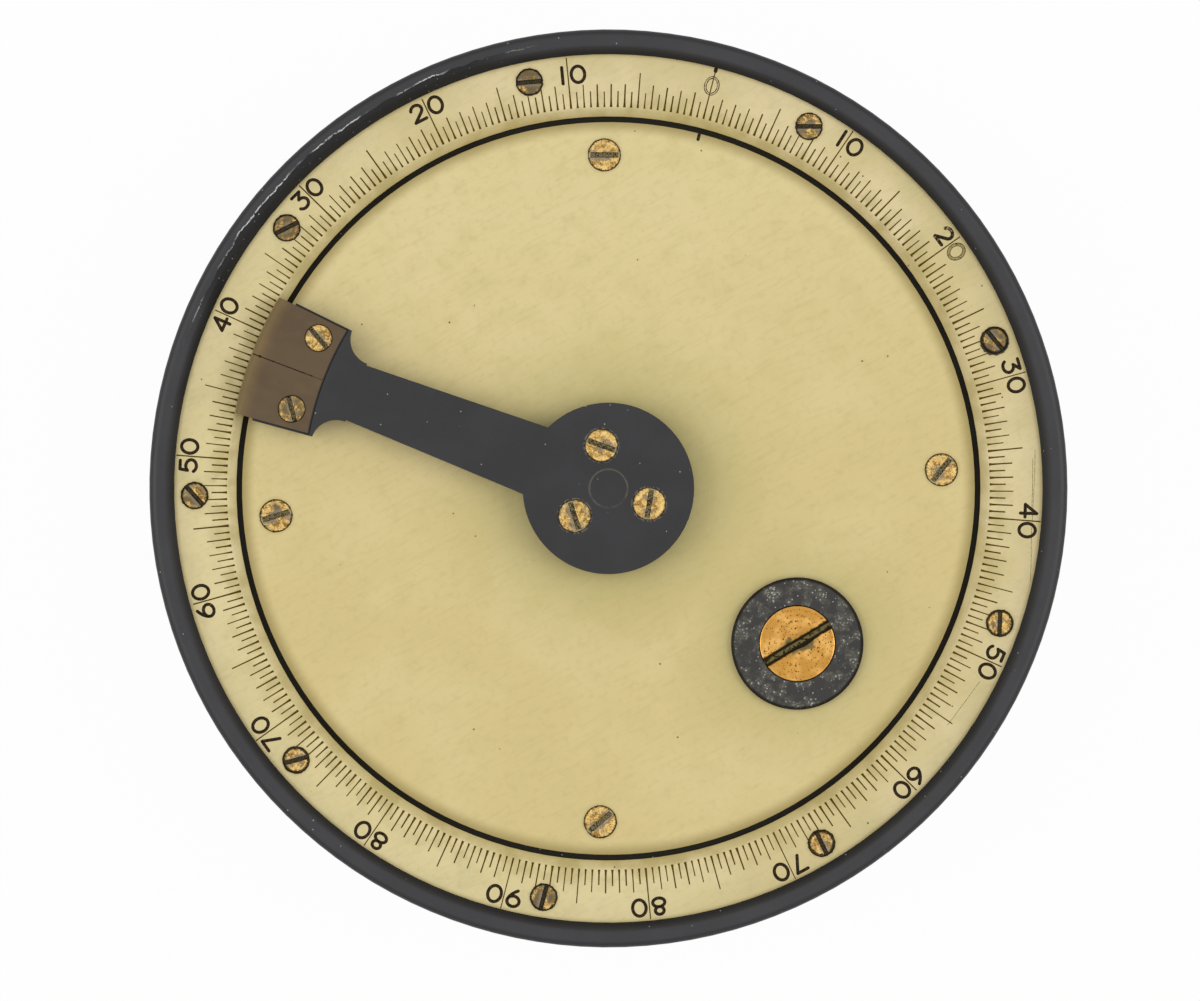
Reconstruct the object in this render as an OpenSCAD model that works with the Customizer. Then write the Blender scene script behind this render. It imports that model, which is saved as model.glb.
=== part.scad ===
// Sextant in a round drum, with a flat dial on top and a geared index mirror inside.
// The arm turns two degrees for each degree read, and a pinion and a toothed sector
// turn the index mirror a quarter as far, which is half of the angle measured.
// Millimetres. +Z is up through the dial, and the origin is the middle of the underside.

/* [Pose] */
// Reading at which the arm stands, counted to the left of the zero mark
reading = 41.7; // [-88:0.1:88]
// Direction of the zero mark and of the line of sight, from +X towards +Y
zero_dir = 75.85; // [0:0.05:360]

/* [Case] */
// Outside diameter over the rim
rim_d = 120; // [116:1:130]
// Width of the rim seen from above
rim_w = 3.2; // [2.8:0.1:4]
// Height of the rim above the scale ring
rim_rise = 1.5; // [1:0.1:2.2]
// Rounding of the rim's outer edge
rim_round = 1.1; // [0.6:0.1:1.4]
// Width of the slope inside the rim
rim_slope_w = 1; // [0.5:0.1:1.3]
// Depth of the slope inside the rim
rim_slope_h = 1; // [0.5:0.1:1.4]
// Height of the plain band round the rim
rim_band = 5; // [3.5:0.1:6]
// How far the rim and the foot stand out from the wall
bead_out = 1.4; // [1:0.1:2]
// Thickness of the wall
wall_t = 3.2; // [2.6:0.1:4]
// Thickness of the ledges that carry the deck and the base plate
ledge_t = 2.4; // [2:0.1:3]
// Width of the ledges inside the wall
ledge_w = 3.9; // [3.4:0.1:5]
// Thickness of the base plate
base_t = 2.5; // [2:0.1:3.5]
// How far the base plate stands below the drum
foot_gap = 0.4; // [0.2:0.1:0.8]
// Width of the drum's edge round the base plate
foot_lip = 1.6; // [1.2:0.1:2]
// Half of the front window, in degrees each side of the line of sight
front_window = 34; // [28:1:36]
// Nearer edge of each side window, in degrees from the line of sight
side_window_near = 40; // [40:1:46]
// Farther edge of each side window, in degrees from the line of sight
side_window_far = 112; // [100:1:118]
// Solid wall between a window and the ledges above and below it
window_sill = 1.9; // [1:0.1:3]

/* [Deck and dial] */
// Thickness of the deck
deck_t = 3.5; // [3:0.1:5]
// Width of the scale ring
ring_w = 8.1; // [7.5:0.1:9]
// Thickness of the scale ring
ring_t = 2; // [1.6:0.1:2.4]
// Width of the bevel along the ring's inner edge
bevel_w = 1.2; // [0.8:0.1:1.6]
// Drop of the bevel along the ring's inner edge
bevel_h = 0.6; // [0.3:0.1:0.9]
// Width of the groove between the ring and the disc
groove_w = 0.75; // [0.5:0.05:1.2]
// Thickness of the dial disc
dial_t = 1.4; // [1:0.1:2]

/* [Index arm] */
// Diameter of the hub
hub_d = 22.4; // [21:0.1:26]
// Gap between the dial disc and the arm
arm_gap = 1.3; // [1.2:0.1:2]
// Thickness of the arm
arm_t = 2; // [1.8:0.1:3]
// Width of the arm where it leaves the hub
arm_w_hub = 9.3; // [8:0.1:11]
// Width of the arm at its neck
arm_w_neck = 7.4; // [6.5:0.1:8.5]
// Step on each side at the neck
neck_step = 0.35; // [0.2:0.05:0.6]
// Length of the head along the arm
head_len = 8.1; // [7:0.1:10]
// Width of the head at its inner end
head_w_in = 14.8; // [14:0.1:17]
// Width of the head at its outer end
head_w_out = 16.5; // [15:0.1:19]
// How far the head stops short of the disc's edge
head_inset = 0.5; // [0.2:0.1:1]
// Thickness of the head below the pointer plate
head_seat_t = 0.9; // [0.8:0.1:1.1]
// Thickness of the pointer plate
pointer_t = 1; // [0.6:0.1:1.4]
// How far the pointer plate reaches over the scale ring
pointer_lap = 1.05; // [0.6:0.05:2]
// Step between the head's inner end and the pointer plate
pointer_step = 0.45; // [0.3:0.05:1]
// How far the head shows on each side of the pointer plate
pointer_margin = 0.3; // [0.1:0.05:0.8]
// Bevel along the pointer plate's reading edge
pointer_bevel = 0.5; // [0.2:0.1:0.6]
// Distance from the plate's inner end to its screws
pointer_screw_inset = 2.6; // [2.2:0.1:3.5]
// Distance between the plate's two screws
pointer_screw_gap = 9.9; // [8:0.1:10]
// Radius of the circle of hub screws
hub_screw_r = 5.7; // [5.4:0.1:6.5]

/* [Spindle] */
// Diameter of the plug in the middle of the hub
plug_d = 5; // [4:0.1:6]
// Diameter of the flange under the hub
spindle_flange_d = 18; // [17:0.1:19]
// Gap round that flange, in the dial
flange_room = 1; // [0.5:0.1:1.2]
// Diameter of the spindle's journal
spindle_d = 8; // [7:0.1:9]
// Diameter of the pinion's seat on the spindle
pinion_seat_d = 5.6; // [5:0.1:6]
// Depth of the flat on the pinion's seat
pinion_flat = 0.6; // [0.4:0.1:0.8]
// Outside diameter of the centre bush
bush_d = 12; // [11:0.1:14]
// Diameter of the centre bush's flange
bush_flange_d = 16; // [15:0.1:18]
// Thickness of the centre bush's flange
bush_flange_t = 0.65; // [0.4:0.05:0.9]
// Space for the dished washer between the bush and the pinion
washer_h = 0.7; // [0.6:0.05:1]
// Thickness of the dished washer
washer_t = 0.25; // [0.2:0.05:0.35]
// Diameter of the pinion screw's head
pinion_screw_d = 8.4; // [7.5:0.1:9]
// Thickness of the pinion screw's head
pinion_screw_t = 1; // [0.8:0.1:1.5]

/* [Gears] */
// Module of the teeth
gear_module = 0.71; // [0.68:0.01:0.74]
// Teeth on the pinion
pinion_teeth = 18; // [17:1:20]
// Direction of the arbor from the middle of the dial
pivot_dir = -39.4; // [-45:0.1:-35]
// Play between the teeth
backlash = 0.12; // [0.1:0.02:0.2]
// Pressure angle of the teeth
pressure = 20; // [20:0.5:22]
// Thickness of the toothed sector
sector_t = 2; // [1.6:0.1:3]
// Width of the sector's rim below its teeth
sector_rim = 3.5; // [2.5:0.1:5]
// Width of the sector's spokes
spoke_w = 4; // [3:0.1:5]
// How far the pinion's face reaches below the sector
pinion_over = 0.6; // [0.3:0.1:1]
// Diameter of the stop pins
stop_d = 2.4; // [2:0.1:3]

/* [Arbor] */
// Diameter of the collar on the dial
collar_d = 17.3; // [16:0.1:19]
// Height of the collar above the dial
collar_rise = 0.9; // [0.5:0.1:0.9]
// Chamfer round the collar
collar_chamfer = 0.25; // [0.1:0.05:0.4]
// Diameter of the bush below the collar
collar_body_d = 13.2; // [12.5:0.1:14]
// Diameter of the large screw's head
arbor_screw_d = 10; // [9:0.1:11]
// Thickness of the large screw's head
arbor_screw_t = 1.7; // [1.4:0.1:2.2]
// Diameter of the large screw's shank
arbor_shank_d = 3.6; // [3:0.1:4]
// Width of the large screw's slot
arbor_slot_w = 1.2; // [0.8:0.1:1.6]
// Direction of the large screw's slot
arbor_slot_dir = 31; // [-90:1:90]
// Diameter of the arbor's journal
journal_d = 7; // [6:0.1:8]
// Diameter of the arbor where it carries the sector
collet_d = 10; // [9.5:0.1:10.5]
// Diameter of the arbor's flange
arbor_flange_d = 18; // [17:0.1:20]
// Thickness of the arbor's flange
arbor_flange_t = 1.5; // [1.3:0.1:2.5]
// Space for the hairspring between the sector and the deck
spring_gap = 1.3; // [1.1:0.1:2]
// Thickness of the hairspring's strip
spring_t = 0.35; // [0.2:0.05:0.5]
// Distance from one turn of the hairspring to the next
spring_pitch = 1.3; // [1:0.1:1.6]
// Turns of the hairspring
spring_turns = 3; // [2:0.5:4]
// Diameter of the hairspring's stud
stud_d = 1.6; // [1.2:0.1:2]

/* [Mirrors] */
// Height of both mirrors
mirror_h = 14; // [12:0.1:18]
// Width of the index mirror
mirror_w = 20; // [16:0.1:22]
// Width of the horizon mirror
horizon_w = 16; // [14:0.1:20]
// Thickness of both mirrors
mirror_t = 2; // [1.5:0.1:2.4]
// Thickness of the horizon mirror's silvering
silver_t = 0.15; // [0.1:0.05:0.3]
// Distance of the horizon mirror from the middle of the dial
sight_reach = 24; // [22:0.5:28]
// Thickness of the mirror channels
frame_wall = 1.2; // [1:0.1:1.6]
// Width of the lips in front of the mirrors
lip_w = 0.8; // [0.5:0.1:1.2]
// Thickness of the lips in front of the mirrors
lip_t = 0.6; // [0.4:0.1:1]
// Thickness of the feet that fix the channels
foot_t = 1.5; // [1.3:0.1:2]
// Width of the horizon bracket's stem
stem_w = 10; // [8:0.1:12]
// Length of the horizon bracket's foot
bracket_foot = 8; // [7:0.1:10]
// Space between the base plate and the channels
floor_gap = 3.4; // [2.6:0.1:5]
// Diameter of the eye bush
eye_bush_d = 8; // [7:0.1:9]
// Diameter of the sight hole
eye_hole_d = 4; // [2:0.1:5]
// Width of the eye bush's flat edge
eye_edge = 0.6; // [0.3:0.1:1]
// How far the eye bush stands out of the wall
eye_proud = 0.6; // [0.3:0.1:0.9]

/* [Screws] */
// Head of the ring, pointer and base screws
small_head_d = 3.5; // [3:0.1:3.8]
// Shank of the ring, pointer and base screws
small_shank_d = 1.8; // [1.5:0.1:2]
// Head of the disc and hub screws
large_head_d = 4.2; // [4:0.1:4.6]
// Shank of the disc and hub screws
large_shank_d = 2.2; // [1.8:0.1:2.4]
// Head of the screws inside the case
inner_head_d = 2.6; // [2.2:0.1:2.8]
// Shank of the screws inside the case
inner_shank_d = 1.4; // [1.2:0.1:1.6]
// Straight part of a screw's head
head_land = 0.25; // [0.2:0.05:0.35]
// How far a head stands out of the dial or the arm
head_proud = 0.2; // [0.1:0.05:0.3]
// Width of a screw's slot
slot_w = 0.6; // [0.4:0.05:0.8]
// Depth of a screw's slot
slot_depth = 0.5; // [0.3:0.05:0.6]
// How far the base screws lie inside the base plate
base_sink = 0.3; // [0.2:0.1:0.5]
// Distance from the scale ring's outer edge to its screws
ring_screw_inset = 2.65; // [2.4:0.05:3.2]
// Distance from the disc's edge to its screws
dial_screw_inset = 4.3; // [3:0.1:6]

/* [Clearances] */
// Radial clearance of a turning shaft
run_clear = 0.03; // [0.02:0.01:0.08]
// End play of a turning shaft
end_play = 0.05; // [0.02:0.01:0.1]
// Clearance of a plate or a ring in its seat
seat_clear = 0.05; // [0.02:0.01:0.1]
// Clearance of a bush or a pin in its hole
press_clear = 0.02; // [0.01:0.01:0.04]
// Clearance round a screw
screw_clear = 0.04; // [0.02:0.01:0.08]
// Clearance round a mirror
glass_clear = 0.08; // [0.05:0.01:0.15]
// Gap between moving pieces that don't touch
move_clear = 0.25; // [0.2:0.05:0.35]

/* [Hidden] */
$fn = 96;

black = "#3f3f40";
dark_bronze = "#4e4b45";
ivory = "#d6c590";
horn = "#685745";
brass = "#c08f43";
steel = "#8d9094";
glass = "#b9c7c9";

// How far a cut runs past the face it opens
cut = 1;

// Heights, from the underside up
floor_z = base_t + floor_gap;
glass_z = floor_z + frame_wall;
glass_top = glass_z + mirror_h;
arbor_z = glass_top + glass_clear;
sector_z = arbor_z + arbor_flange_t;
sector_top = sector_z + sector_t;
deck_z = sector_top + spring_gap;
deck_top = deck_z + deck_t;
dial_top = deck_top + dial_t;
ring_top = deck_top + ring_t;
rim_top = ring_top + rim_rise;
arm_z = dial_top + arm_gap;
arm_top = arm_z + arm_t;
thrust_z = deck_top + bush_flange_t + end_play;
pinion_top = deck_z - washer_h;
pinion_z = sector_z - pinion_over;
collar_top = dial_top + collar_rise;
arbor_top = collar_top - arbor_screw_t;
sight_z = glass_z + mirror_h / 2;
window_z = base_t + ledge_t + window_sill;
window_top = deck_z - ledge_t - window_sill;

// Radii of the case and the dial
rim_r = rim_d / 2;
bore_r = rim_r - rim_w;
ring_r = bore_r - seat_clear;
ring_in = ring_r - ring_w;
dial_r = ring_in - groove_w;
wall_r = rim_r - bead_out;
wall_in = wall_r - wall_t;
ledge_in = wall_in - ledge_w;
base_r = wall_r - foot_lip;
base_screw_r = wall_in - ledge_w / 2;
ring_screw_r = ring_r - ring_screw_inset;
dial_screw_r = dial_r - dial_screw_inset;
dial_hole_r = spindle_flange_d / 2 + flange_room;

// Arm, drawn along +X and turned to its reading
arc_per_degree = 2;
full_reading = 90;
arm_turn = arc_per_degree * reading;
arm_dir = zero_dir + arm_turn;
head_out = dial_r - head_inset;
head_in = head_out - head_len;
head_x = sqrt(pow(head_in, 2) - pow(head_w_in / 2, 2));
neck_r = head_w_in / 2 - arm_w_neck / 2 - neck_step;
neck_x = head_x - neck_r;
root_x = sqrt(pow(hub_d / 2, 2) - pow(arm_w_hub / 2, 2));
pointer_in = head_in + pointer_step;
pointer_out = ring_in + pointer_lap;
pointer_z = arm_z + head_seat_t;
pointer_top = pointer_z + pointer_t;
pointer_screws_at = [for (s = [-1, 1]) [pointer_in + pointer_screw_inset, s * pointer_screw_gap / 2]];
hub_screws_at = [for (a = spread(3, 60)) polar(hub_screw_r, a)];

// Gears
turn_ratio = 4;
sector_teeth = turn_ratio * pinion_teeth;
tooth_pitch = 360 / sector_teeth;
pinion_pitch_r = gear_module * pinion_teeth / 2;
sector_pitch_r = gear_module * sector_teeth / 2;
root_depth = 1.25 * gear_module;
sector_root_r = sector_pitch_r - root_depth;
sector_inner_r = sector_root_r - sector_rim;
sector_limit = arc_per_degree * full_reading / turn_ratio;
side_teeth = ceil(sector_limit / tooth_pitch) + 1;
sector_half = (side_teeth + 0.5) * tooth_pitch;
sector_turn = -arm_turn / turn_ratio;
pivot = polar(pinion_pitch_r + sector_pitch_r, pivot_dir);
stop_r = sector_root_r - sector_rim / 2;
stop_off = sector_limit + sector_half + asin((stop_d / 2 + move_clear) / stop_r);
stops_at = [for (s = [-1, 1]) pivot + polar(stop_r, pivot_dir + 180 + s * stop_off)];

// Mirrors: the ray from the index mirror meets the horizon mirror and goes to the eye
sight = polar(1, zero_dir);
horizon = sight_reach * sight;
ray = (horizon - pivot) / norm(horizon - pivot);
horizon_normal = -sight - ray;
horizon_dir = atan2(horizon_normal.y, horizon_normal.x);
index_dir = horizon_dir + 180;
index_back = mirror_t + glass_clear + frame_wall;
horizon_back = index_back + silver_t;
bracket_screws_at = [for (s = [-1, 1]) [s * stem_w / 2, -horizon_back - bracket_foot / 2]];
flange_screw_r = (collet_d + arbor_flange_d) / 4;
frame_screw_off = 35;
frame_screws_at = [for (s = [-1, 1]) polar(flange_screw_r, 270 + s * frame_screw_off)];
sector_screws_at = [for (a = spread(3, 30)) polar(flange_screw_r, a)];

// Hairspring
spring_in = collet_d / 2 + move_clear;
spring_out = spring_in + spring_turns * spring_pitch;
spring_steps = 36;
stud_off = asin((stud_d / 2 + press_clear) / spring_out);
stud_at = polar(spring_out + spring_t / 2, 360 * spring_turns + stud_off);

// Slot directions of the screws on the dial, as they were left when tightened
ring_slots = [-50, 0, 5, 27, -48, 15, 75, -65, 88];
dial_dirs = [90.7, 184.7, 268.6, 3.2];
dial_slots = [0, 17, 40, 52];
hub_slots = [-72, 81, -20];
pointer_slots = [-50, -75];
ring_screw_dirs = spread(len(ring_slots), 21);
base_screw_dirs = spread(6);

// Slot directions of the screws inside the case
bracket_slot = 30;
sector_slot = 20;
frame_slot = 70;
base_slot_step = 42;

function polar(r, a) = r * [cos(a), sin(a)];
function places(list) = [0:len(list) - 1];
function spread(count, first = 0) = [for (i = [0:count - 1]) first + 360 * i / count];
function arc(centre, r, from, to, steps = 8) =
    [for (i = [0:steps]) centre + polar(r, from + (to - from) * i / steps)];

// Half of a tooth's width at radius rho, as an angle
function involute(a) = tan(a) * 180 / PI - a;
function tooth_half(teeth, rho) =
    let (r = gear_module * teeth / 2)
    90 / teeth - backlash / 4 / r * 180 / PI
    + involute(pressure) - involute(acos(min(1, r * cos(pressure) / rho)));

// One tooth as points, from its left root over its tip to its right root
function tooth(teeth, at, steps = 5) =
    let (
        r = gear_module * teeth / 2,
        root = r - root_depth,
        tip = r + gear_module,
        start = max(root, r * cos(pressure)),
        radii = [for (k = [0:steps]) start + (tip - start) * k / steps],
        foot = root < start ? [root] : []
    )
    concat(
        [for (rho = foot) polar(rho, at - tooth_half(teeth, start))],
        [for (rho = radii) polar(rho, at - tooth_half(teeth, rho))],
        [for (k = [steps:-1:0]) polar(radii[k], at + tooth_half(teeth, radii[k]))],
        [for (rho = foot) polar(rho, at + tooth_half(teeth, start))]
    );

// Countersunk slotted screw, with the surface it sits in at z = 0
module screw(head_d, shank_d, len, slot = 0, proud = head_proud) {
    head_r = head_d / 2;
    shank_r = shank_d / 2;
    edge = head_land / 3;
    difference() {
        rotate_extrude()
            polygon([
                [0, proud], [head_r - edge, proud], [head_r, proud - edge], [head_r, -head_land],
                [shank_r, shank_r - head_r - head_land], [shank_r, -len], [0, -len]
            ]);
        rotate(slot)
            translate([-head_r - cut, -slot_w / 2, proud - slot_depth])
                cube([head_d + 2 * cut, slot_w, slot_depth + cut]);
    }
}

// Room for that screw
module screw_room(head_d, shank_d, len) {
    head_r = head_d / 2 + screw_clear;
    shank_r = shank_d / 2 + screw_clear;
    rotate_extrude()
        polygon([
            [0, cut], [head_r, cut], [head_r, -head_land],
            [shank_r, shank_r - head_r - head_land], [shank_r, -len - screw_clear], [0, -len - screw_clear]
        ]);
}

module small_room(len) screw_room(small_head_d, small_shank_d, len);
module large_room(len) screw_room(large_head_d, large_shank_d, len);
module inner_room(len) screw_room(inner_head_d, inner_shank_d, len);

// Screw lengths: each goes a share of the way into the last piece that it enters
grip = 0.8;
blind = deck_t / 2;
ring_screw_len = ring_t + deck_t + ledge_t * grip;
base_screw_len = base_t - base_sink + ledge_t * grip;
dial_screw_len = dial_t + deck_t * grip;
hub_screw_len = arm_t + (arm_z - thrust_z) * grip;
pointer_screw_len = pointer_t + head_seat_t;
sector_screw_len = sector_t + arbor_flange_t * grip;
frame_screw_len = foot_t + arbor_flange_t * grip;
bracket_screw_len = foot_t + blind;
pinion_shank_d = pinion_seat_d / 2;
pinion_shank_len = (pinion_top - pinion_z) * grip;
arbor_shank_len = (arbor_top - sector_z) / 2;

module at_ring_screw(i)
    translate([0, 0, ring_top]) translate(polar(ring_screw_r, ring_screw_dirs[i])) children();
module at_dial_screw(i) translate([0, 0, dial_top]) translate(polar(dial_screw_r, dial_dirs[i])) children();
module at_base_screw(i)
    translate([0, 0, base_sink])
        translate(polar(base_screw_r, base_screw_dirs[i])) mirror([0, 0, 1]) children();
module at_arm() rotate(arm_dir) children();
module at_pivot() translate(pivot) rotate(sector_turn) children();
module at_index() at_pivot() rotate(index_dir - 90) children();
module at_horizon() translate(horizon) rotate(horizon_dir - 90) children();
module at_eye() rotate(zero_dir + 180) translate([0, 0, sight_z]) rotate([0, 90, 0]) children();

module ring_of(outer, inner, h)
    difference() {
        cylinder(r = outer, h = h);
        translate([0, 0, -cut]) cylinder(r = inner, h = h + 2 * cut);
    }

// Case

module drum_profile()
    polygon(concat(
        [[base_r + seat_clear, foot_gap]],
        arc([wall_r, foot_gap + bead_out], bead_out, -90, 90),
        [[wall_r, rim_top - rim_band - bead_out], [rim_r, rim_top - rim_band]],
        arc([rim_r - rim_round, rim_top - rim_round], rim_round, 0, 90),
        [
            [bore_r + rim_slope_w, rim_top], [bore_r, rim_top - rim_slope_h],
            [bore_r, deck_z], [ledge_in, deck_z], [ledge_in, deck_z - ledge_t],
            [wall_in, deck_z - ledge_t], [wall_in, base_t + ledge_t],
            [ledge_in, base_t + ledge_t], [ledge_in, base_t], [base_r + seat_clear, base_t]
        ]
    ));

module window_room(from, to)
    rotate(zero_dir + from)
        rotate_extrude(angle = to - from)
            translate([wall_in - cut, window_z])
                square([wall_t + bead_out + 2 * cut, window_top - window_z]);

module case_drum()
    color(black)
        difference() {
            rotate_extrude($fn = 192) drum_profile();
            window_room(-front_window, front_window);
            window_room(side_window_near, side_window_far);
            window_room(-side_window_far, -side_window_near);
            at_eye()
                translate([0, 0, ledge_in])
                    cylinder(d = eye_bush_d + 2 * press_clear, h = rim_r - ledge_in + cut);
            for (i = places(ring_slots)) at_ring_screw(i) small_room(ring_screw_len);
            for (i = places(base_screw_dirs)) at_base_screw(i) small_room(base_screw_len);
        }

module base_plate()
    color(black)
        difference() {
            cylinder(r = base_r, h = base_t, $fn = 192);
            for (i = places(base_screw_dirs)) at_base_screw(i) small_room(base_screw_len);
        }

module base_screws()
    color(brass)
        for (i = places(base_screw_dirs))
            at_base_screw(i)
                screw(small_head_d, small_shank_d, base_screw_len, i * base_slot_step, 0);

module eye_bush()
    color(dark_bronze)
        at_eye()
            rotate_extrude()
                polygon([
                    [eye_hole_d / 2, wall_in], [eye_bush_d / 2, wall_in],
                    [eye_bush_d / 2, wall_r + eye_proud], [eye_bush_d / 2 - eye_edge, wall_r + eye_proud],
                    [eye_hole_d / 2, wall_r + eye_proud - wall_t / 2]
                ]);

// Deck and dial

module pin_room(d)
    translate([0, 0, deck_z - cut]) cylinder(d = d + 2 * press_clear, h = blind + press_clear + cut);

module deck_plate()
    color(black)
        difference() {
            translate([0, 0, deck_z]) cylinder(r = ring_r, h = deck_t, $fn = 192);
            translate([0, 0, deck_z - cut]) cylinder(d = bush_d + 2 * press_clear, h = deck_t + 2 * cut);
            translate([pivot.x, pivot.y, deck_z - cut])
                cylinder(d = collar_body_d + 2 * press_clear, h = deck_t + 2 * cut);
            for (i = places(ring_slots)) at_ring_screw(i) small_room(ring_screw_len);
            for (i = places(dial_slots)) at_dial_screw(i) large_room(dial_screw_len);
            for (p = stops_at) translate(p) pin_room(stop_d);
            at_pivot() translate(stud_at) pin_room(stud_d);
            at_horizon() bracket_screw_rooms();
        }

module scale_ring()
    color(ivory)
        difference() {
            rotate_extrude($fn = 192)
                polygon([
                    [ring_in, deck_top], [ring_r, deck_top], [ring_r, ring_top],
                    [ring_in + bevel_w, ring_top], [ring_in, ring_top - bevel_h]
                ]);
            for (i = places(ring_slots)) at_ring_screw(i) small_room(ring_screw_len);
        }

module scale_ring_screws()
    color(brass)
        for (i = places(ring_slots))
            at_ring_screw(i) screw(small_head_d, small_shank_d, ring_screw_len, ring_slots[i]);

module dial_disc()
    color(ivory)
        difference() {
            translate([0, 0, deck_top]) ring_of(dial_r, dial_hole_r, dial_t, $fn = 192);
            translate([pivot.x, pivot.y, deck_top - cut])
                cylinder(d = collar_body_d + 2 * press_clear, h = dial_t + 2 * cut);
            for (i = places(dial_slots)) at_dial_screw(i) large_room(dial_screw_len);
        }

module dial_disc_screws()
    color(brass)
        for (i = places(dial_slots))
            at_dial_screw(i) screw(large_head_d, large_shank_d, dial_screw_len, dial_slots[i]);

module centre_bush()
    color(brass)
        rotate_extrude()
            polygon([
                [spindle_d / 2 + run_clear, deck_z], [bush_d / 2, deck_z], [bush_d / 2, deck_top],
                [bush_flange_d / 2, deck_top], [bush_flange_d / 2, deck_top + bush_flange_t],
                [spindle_d / 2 + run_clear, deck_top + bush_flange_t]
            ]);

module arbor_bush()
    color(dark_bronze)
        translate(pivot)
            rotate_extrude()
                polygon([
                    [journal_d / 2 + run_clear, deck_z], [collar_body_d / 2, deck_z],
                    [collar_body_d / 2, dial_top], [collar_d / 2, dial_top],
                    [collar_d / 2, collar_top - collar_chamfer],
                    [collar_d / 2 - collar_chamfer, collar_top],
                    [arbor_screw_d / 2 + run_clear, collar_top],
                    [arbor_screw_d / 2 + run_clear, arbor_top - end_play],
                    [journal_d / 2 + run_clear, arbor_top - end_play]
                ]);

module stop_pins()
    color(steel)
        for (p = stops_at)
            translate([p.x, p.y, sector_z]) cylinder(d = stop_d, h = deck_z + blind - sector_z);

module hairspring() {
    turns = [for (i = [0:spring_turns * spring_steps]) i * 360 / spring_steps];
    inner = [for (a = turns) polar(spring_in + spring_pitch * a / 360, a)];
    outer = [for (a = turns) polar(spring_in + spring_t + spring_pitch * a / 360, a)];
    color(steel)
        at_pivot()
            translate([0, 0, sector_top + move_clear])
                linear_extrude(spring_gap - 2 * move_clear)
                    polygon(concat(outer, [for (i = [len(inner) - 1:-1:0]) inner[i]]));
}

module spring_stud()
    color(brass)
        at_pivot()
            translate([stud_at.x, stud_at.y, sector_top + move_clear])
                cylinder(d = stud_d, h = spring_gap - move_clear + blind);

// Horizon mirror

// Channel round a mirror whose front is at y = 0
module channel(width, depth, h) {
    inner_w = width + 2 * glass_clear;
    outer_w = inner_w + 2 * frame_wall;
    difference() {
        translate([-outer_w / 2, -depth - frame_wall - glass_clear, floor_z])
            cube([outer_w, depth + frame_wall + 2 * glass_clear + lip_t, h + frame_wall]);
        translate([-inner_w / 2, -depth - glass_clear, glass_z])
            cube([inner_w, depth + 2 * glass_clear, h + cut]);
        translate([-width / 2 + lip_w, 0, glass_z + lip_w])
            cube([width - 2 * lip_w, lip_t + glass_clear + cut, h + cut]);
    }
}

module bracket_screw_rooms()
    for (p = bracket_screws_at)
        translate([p.x, p.y, deck_z - foot_t]) mirror([0, 0, 1]) inner_room(bracket_screw_len);

module horizon_bracket()
    color(black)
        at_horizon()
            difference() {
                union() {
                    channel(horizon_w, mirror_t + silver_t, mirror_h);
                    translate([-stem_w / 2, -horizon_back, glass_z])
                        cube([stem_w, frame_wall, deck_z - glass_z]);
                    translate([-stem_w / 2 - inner_head_d, -horizon_back - bracket_foot, deck_z - foot_t])
                        cube([stem_w + 2 * inner_head_d, bracket_foot + frame_wall, foot_t]);
                }
                translate([-horizon_w / 2 + lip_w, -horizon_back - cut, sight_z])
                    cube([horizon_w - 2 * lip_w, frame_wall + 2 * cut, mirror_h / 2 - lip_w]);
                bracket_screw_rooms();
            }

module horizon_mirror()
    color(glass)
        at_horizon() translate([-horizon_w / 2, -mirror_t, glass_z]) cube([horizon_w, mirror_t, mirror_h]);

module horizon_silver()
    color(steel)
        at_horizon()
            translate([-horizon_w / 2, -mirror_t - silver_t, glass_z])
                cube([horizon_w, silver_t, mirror_h / 2]);

module horizon_bracket_screws()
    color(brass)
        at_horizon()
            for (p = bracket_screws_at)
                translate([p.x, p.y, deck_z - foot_t])
                    mirror([0, 0, 1]) screw(inner_head_d, inner_shank_d, bracket_screw_len, bracket_slot, 0);

// Index arm

module head_sides(margin)
    polygon([
        [head_x, head_w_in / 2 - margin],
        [head_x, margin - head_w_in / 2],
        [pointer_out + cut, margin - head_half(pointer_out + cut)],
        [pointer_out + cut, head_half(pointer_out + cut) - margin]
    ]);
function head_half(x) = (head_w_in + (head_w_out - head_w_in) * (x - head_x) / (head_out - head_x)) / 2;

module arm_outline() {
    circle(d = hub_d);
    polygon([
        [0, arm_w_hub / 2], [0, -arm_w_hub / 2], [root_x, -arm_w_hub / 2],
        [head_x, -arm_w_neck / 2], [head_x, arm_w_neck / 2], [root_x, arm_w_hub / 2]
    ]);
    difference() {
        translate([neck_x, -head_w_in / 2]) square([head_x - neck_x, head_w_in]);
        for (s = [-1, 1]) translate([neck_x, s * head_w_in / 2]) circle(r = neck_r);
    }
    intersection() {
        head_sides(0);
        circle(r = head_out, $fn = 192);
    }
}

module index_arm()
    color(black)
        at_arm()
            difference() {
                translate([0, 0, arm_z]) linear_extrude(arm_t) arm_outline();
                translate([0, 0, pointer_z])
                    ring_of(pointer_out, pointer_in - seat_clear, arm_t, $fn = 192);
                translate([0, 0, arm_z - cut]) cylinder(d = plug_d + 2 * press_clear, h = arm_t + 2 * cut);
                for (p = hub_screws_at) translate([p.x, p.y, arm_top]) large_room(hub_screw_len);
                for (p = pointer_screws_at)
                    translate([p.x, p.y, pointer_top]) small_room(pointer_screw_len + cut);
            }

module hub_screws()
    color(brass)
        at_arm()
            for (i = places(hub_slots))
                translate([hub_screws_at[i].x, hub_screws_at[i].y, arm_top])
                    screw(large_head_d, large_shank_d, hub_screw_len, hub_slots[i] - arm_dir);

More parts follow.
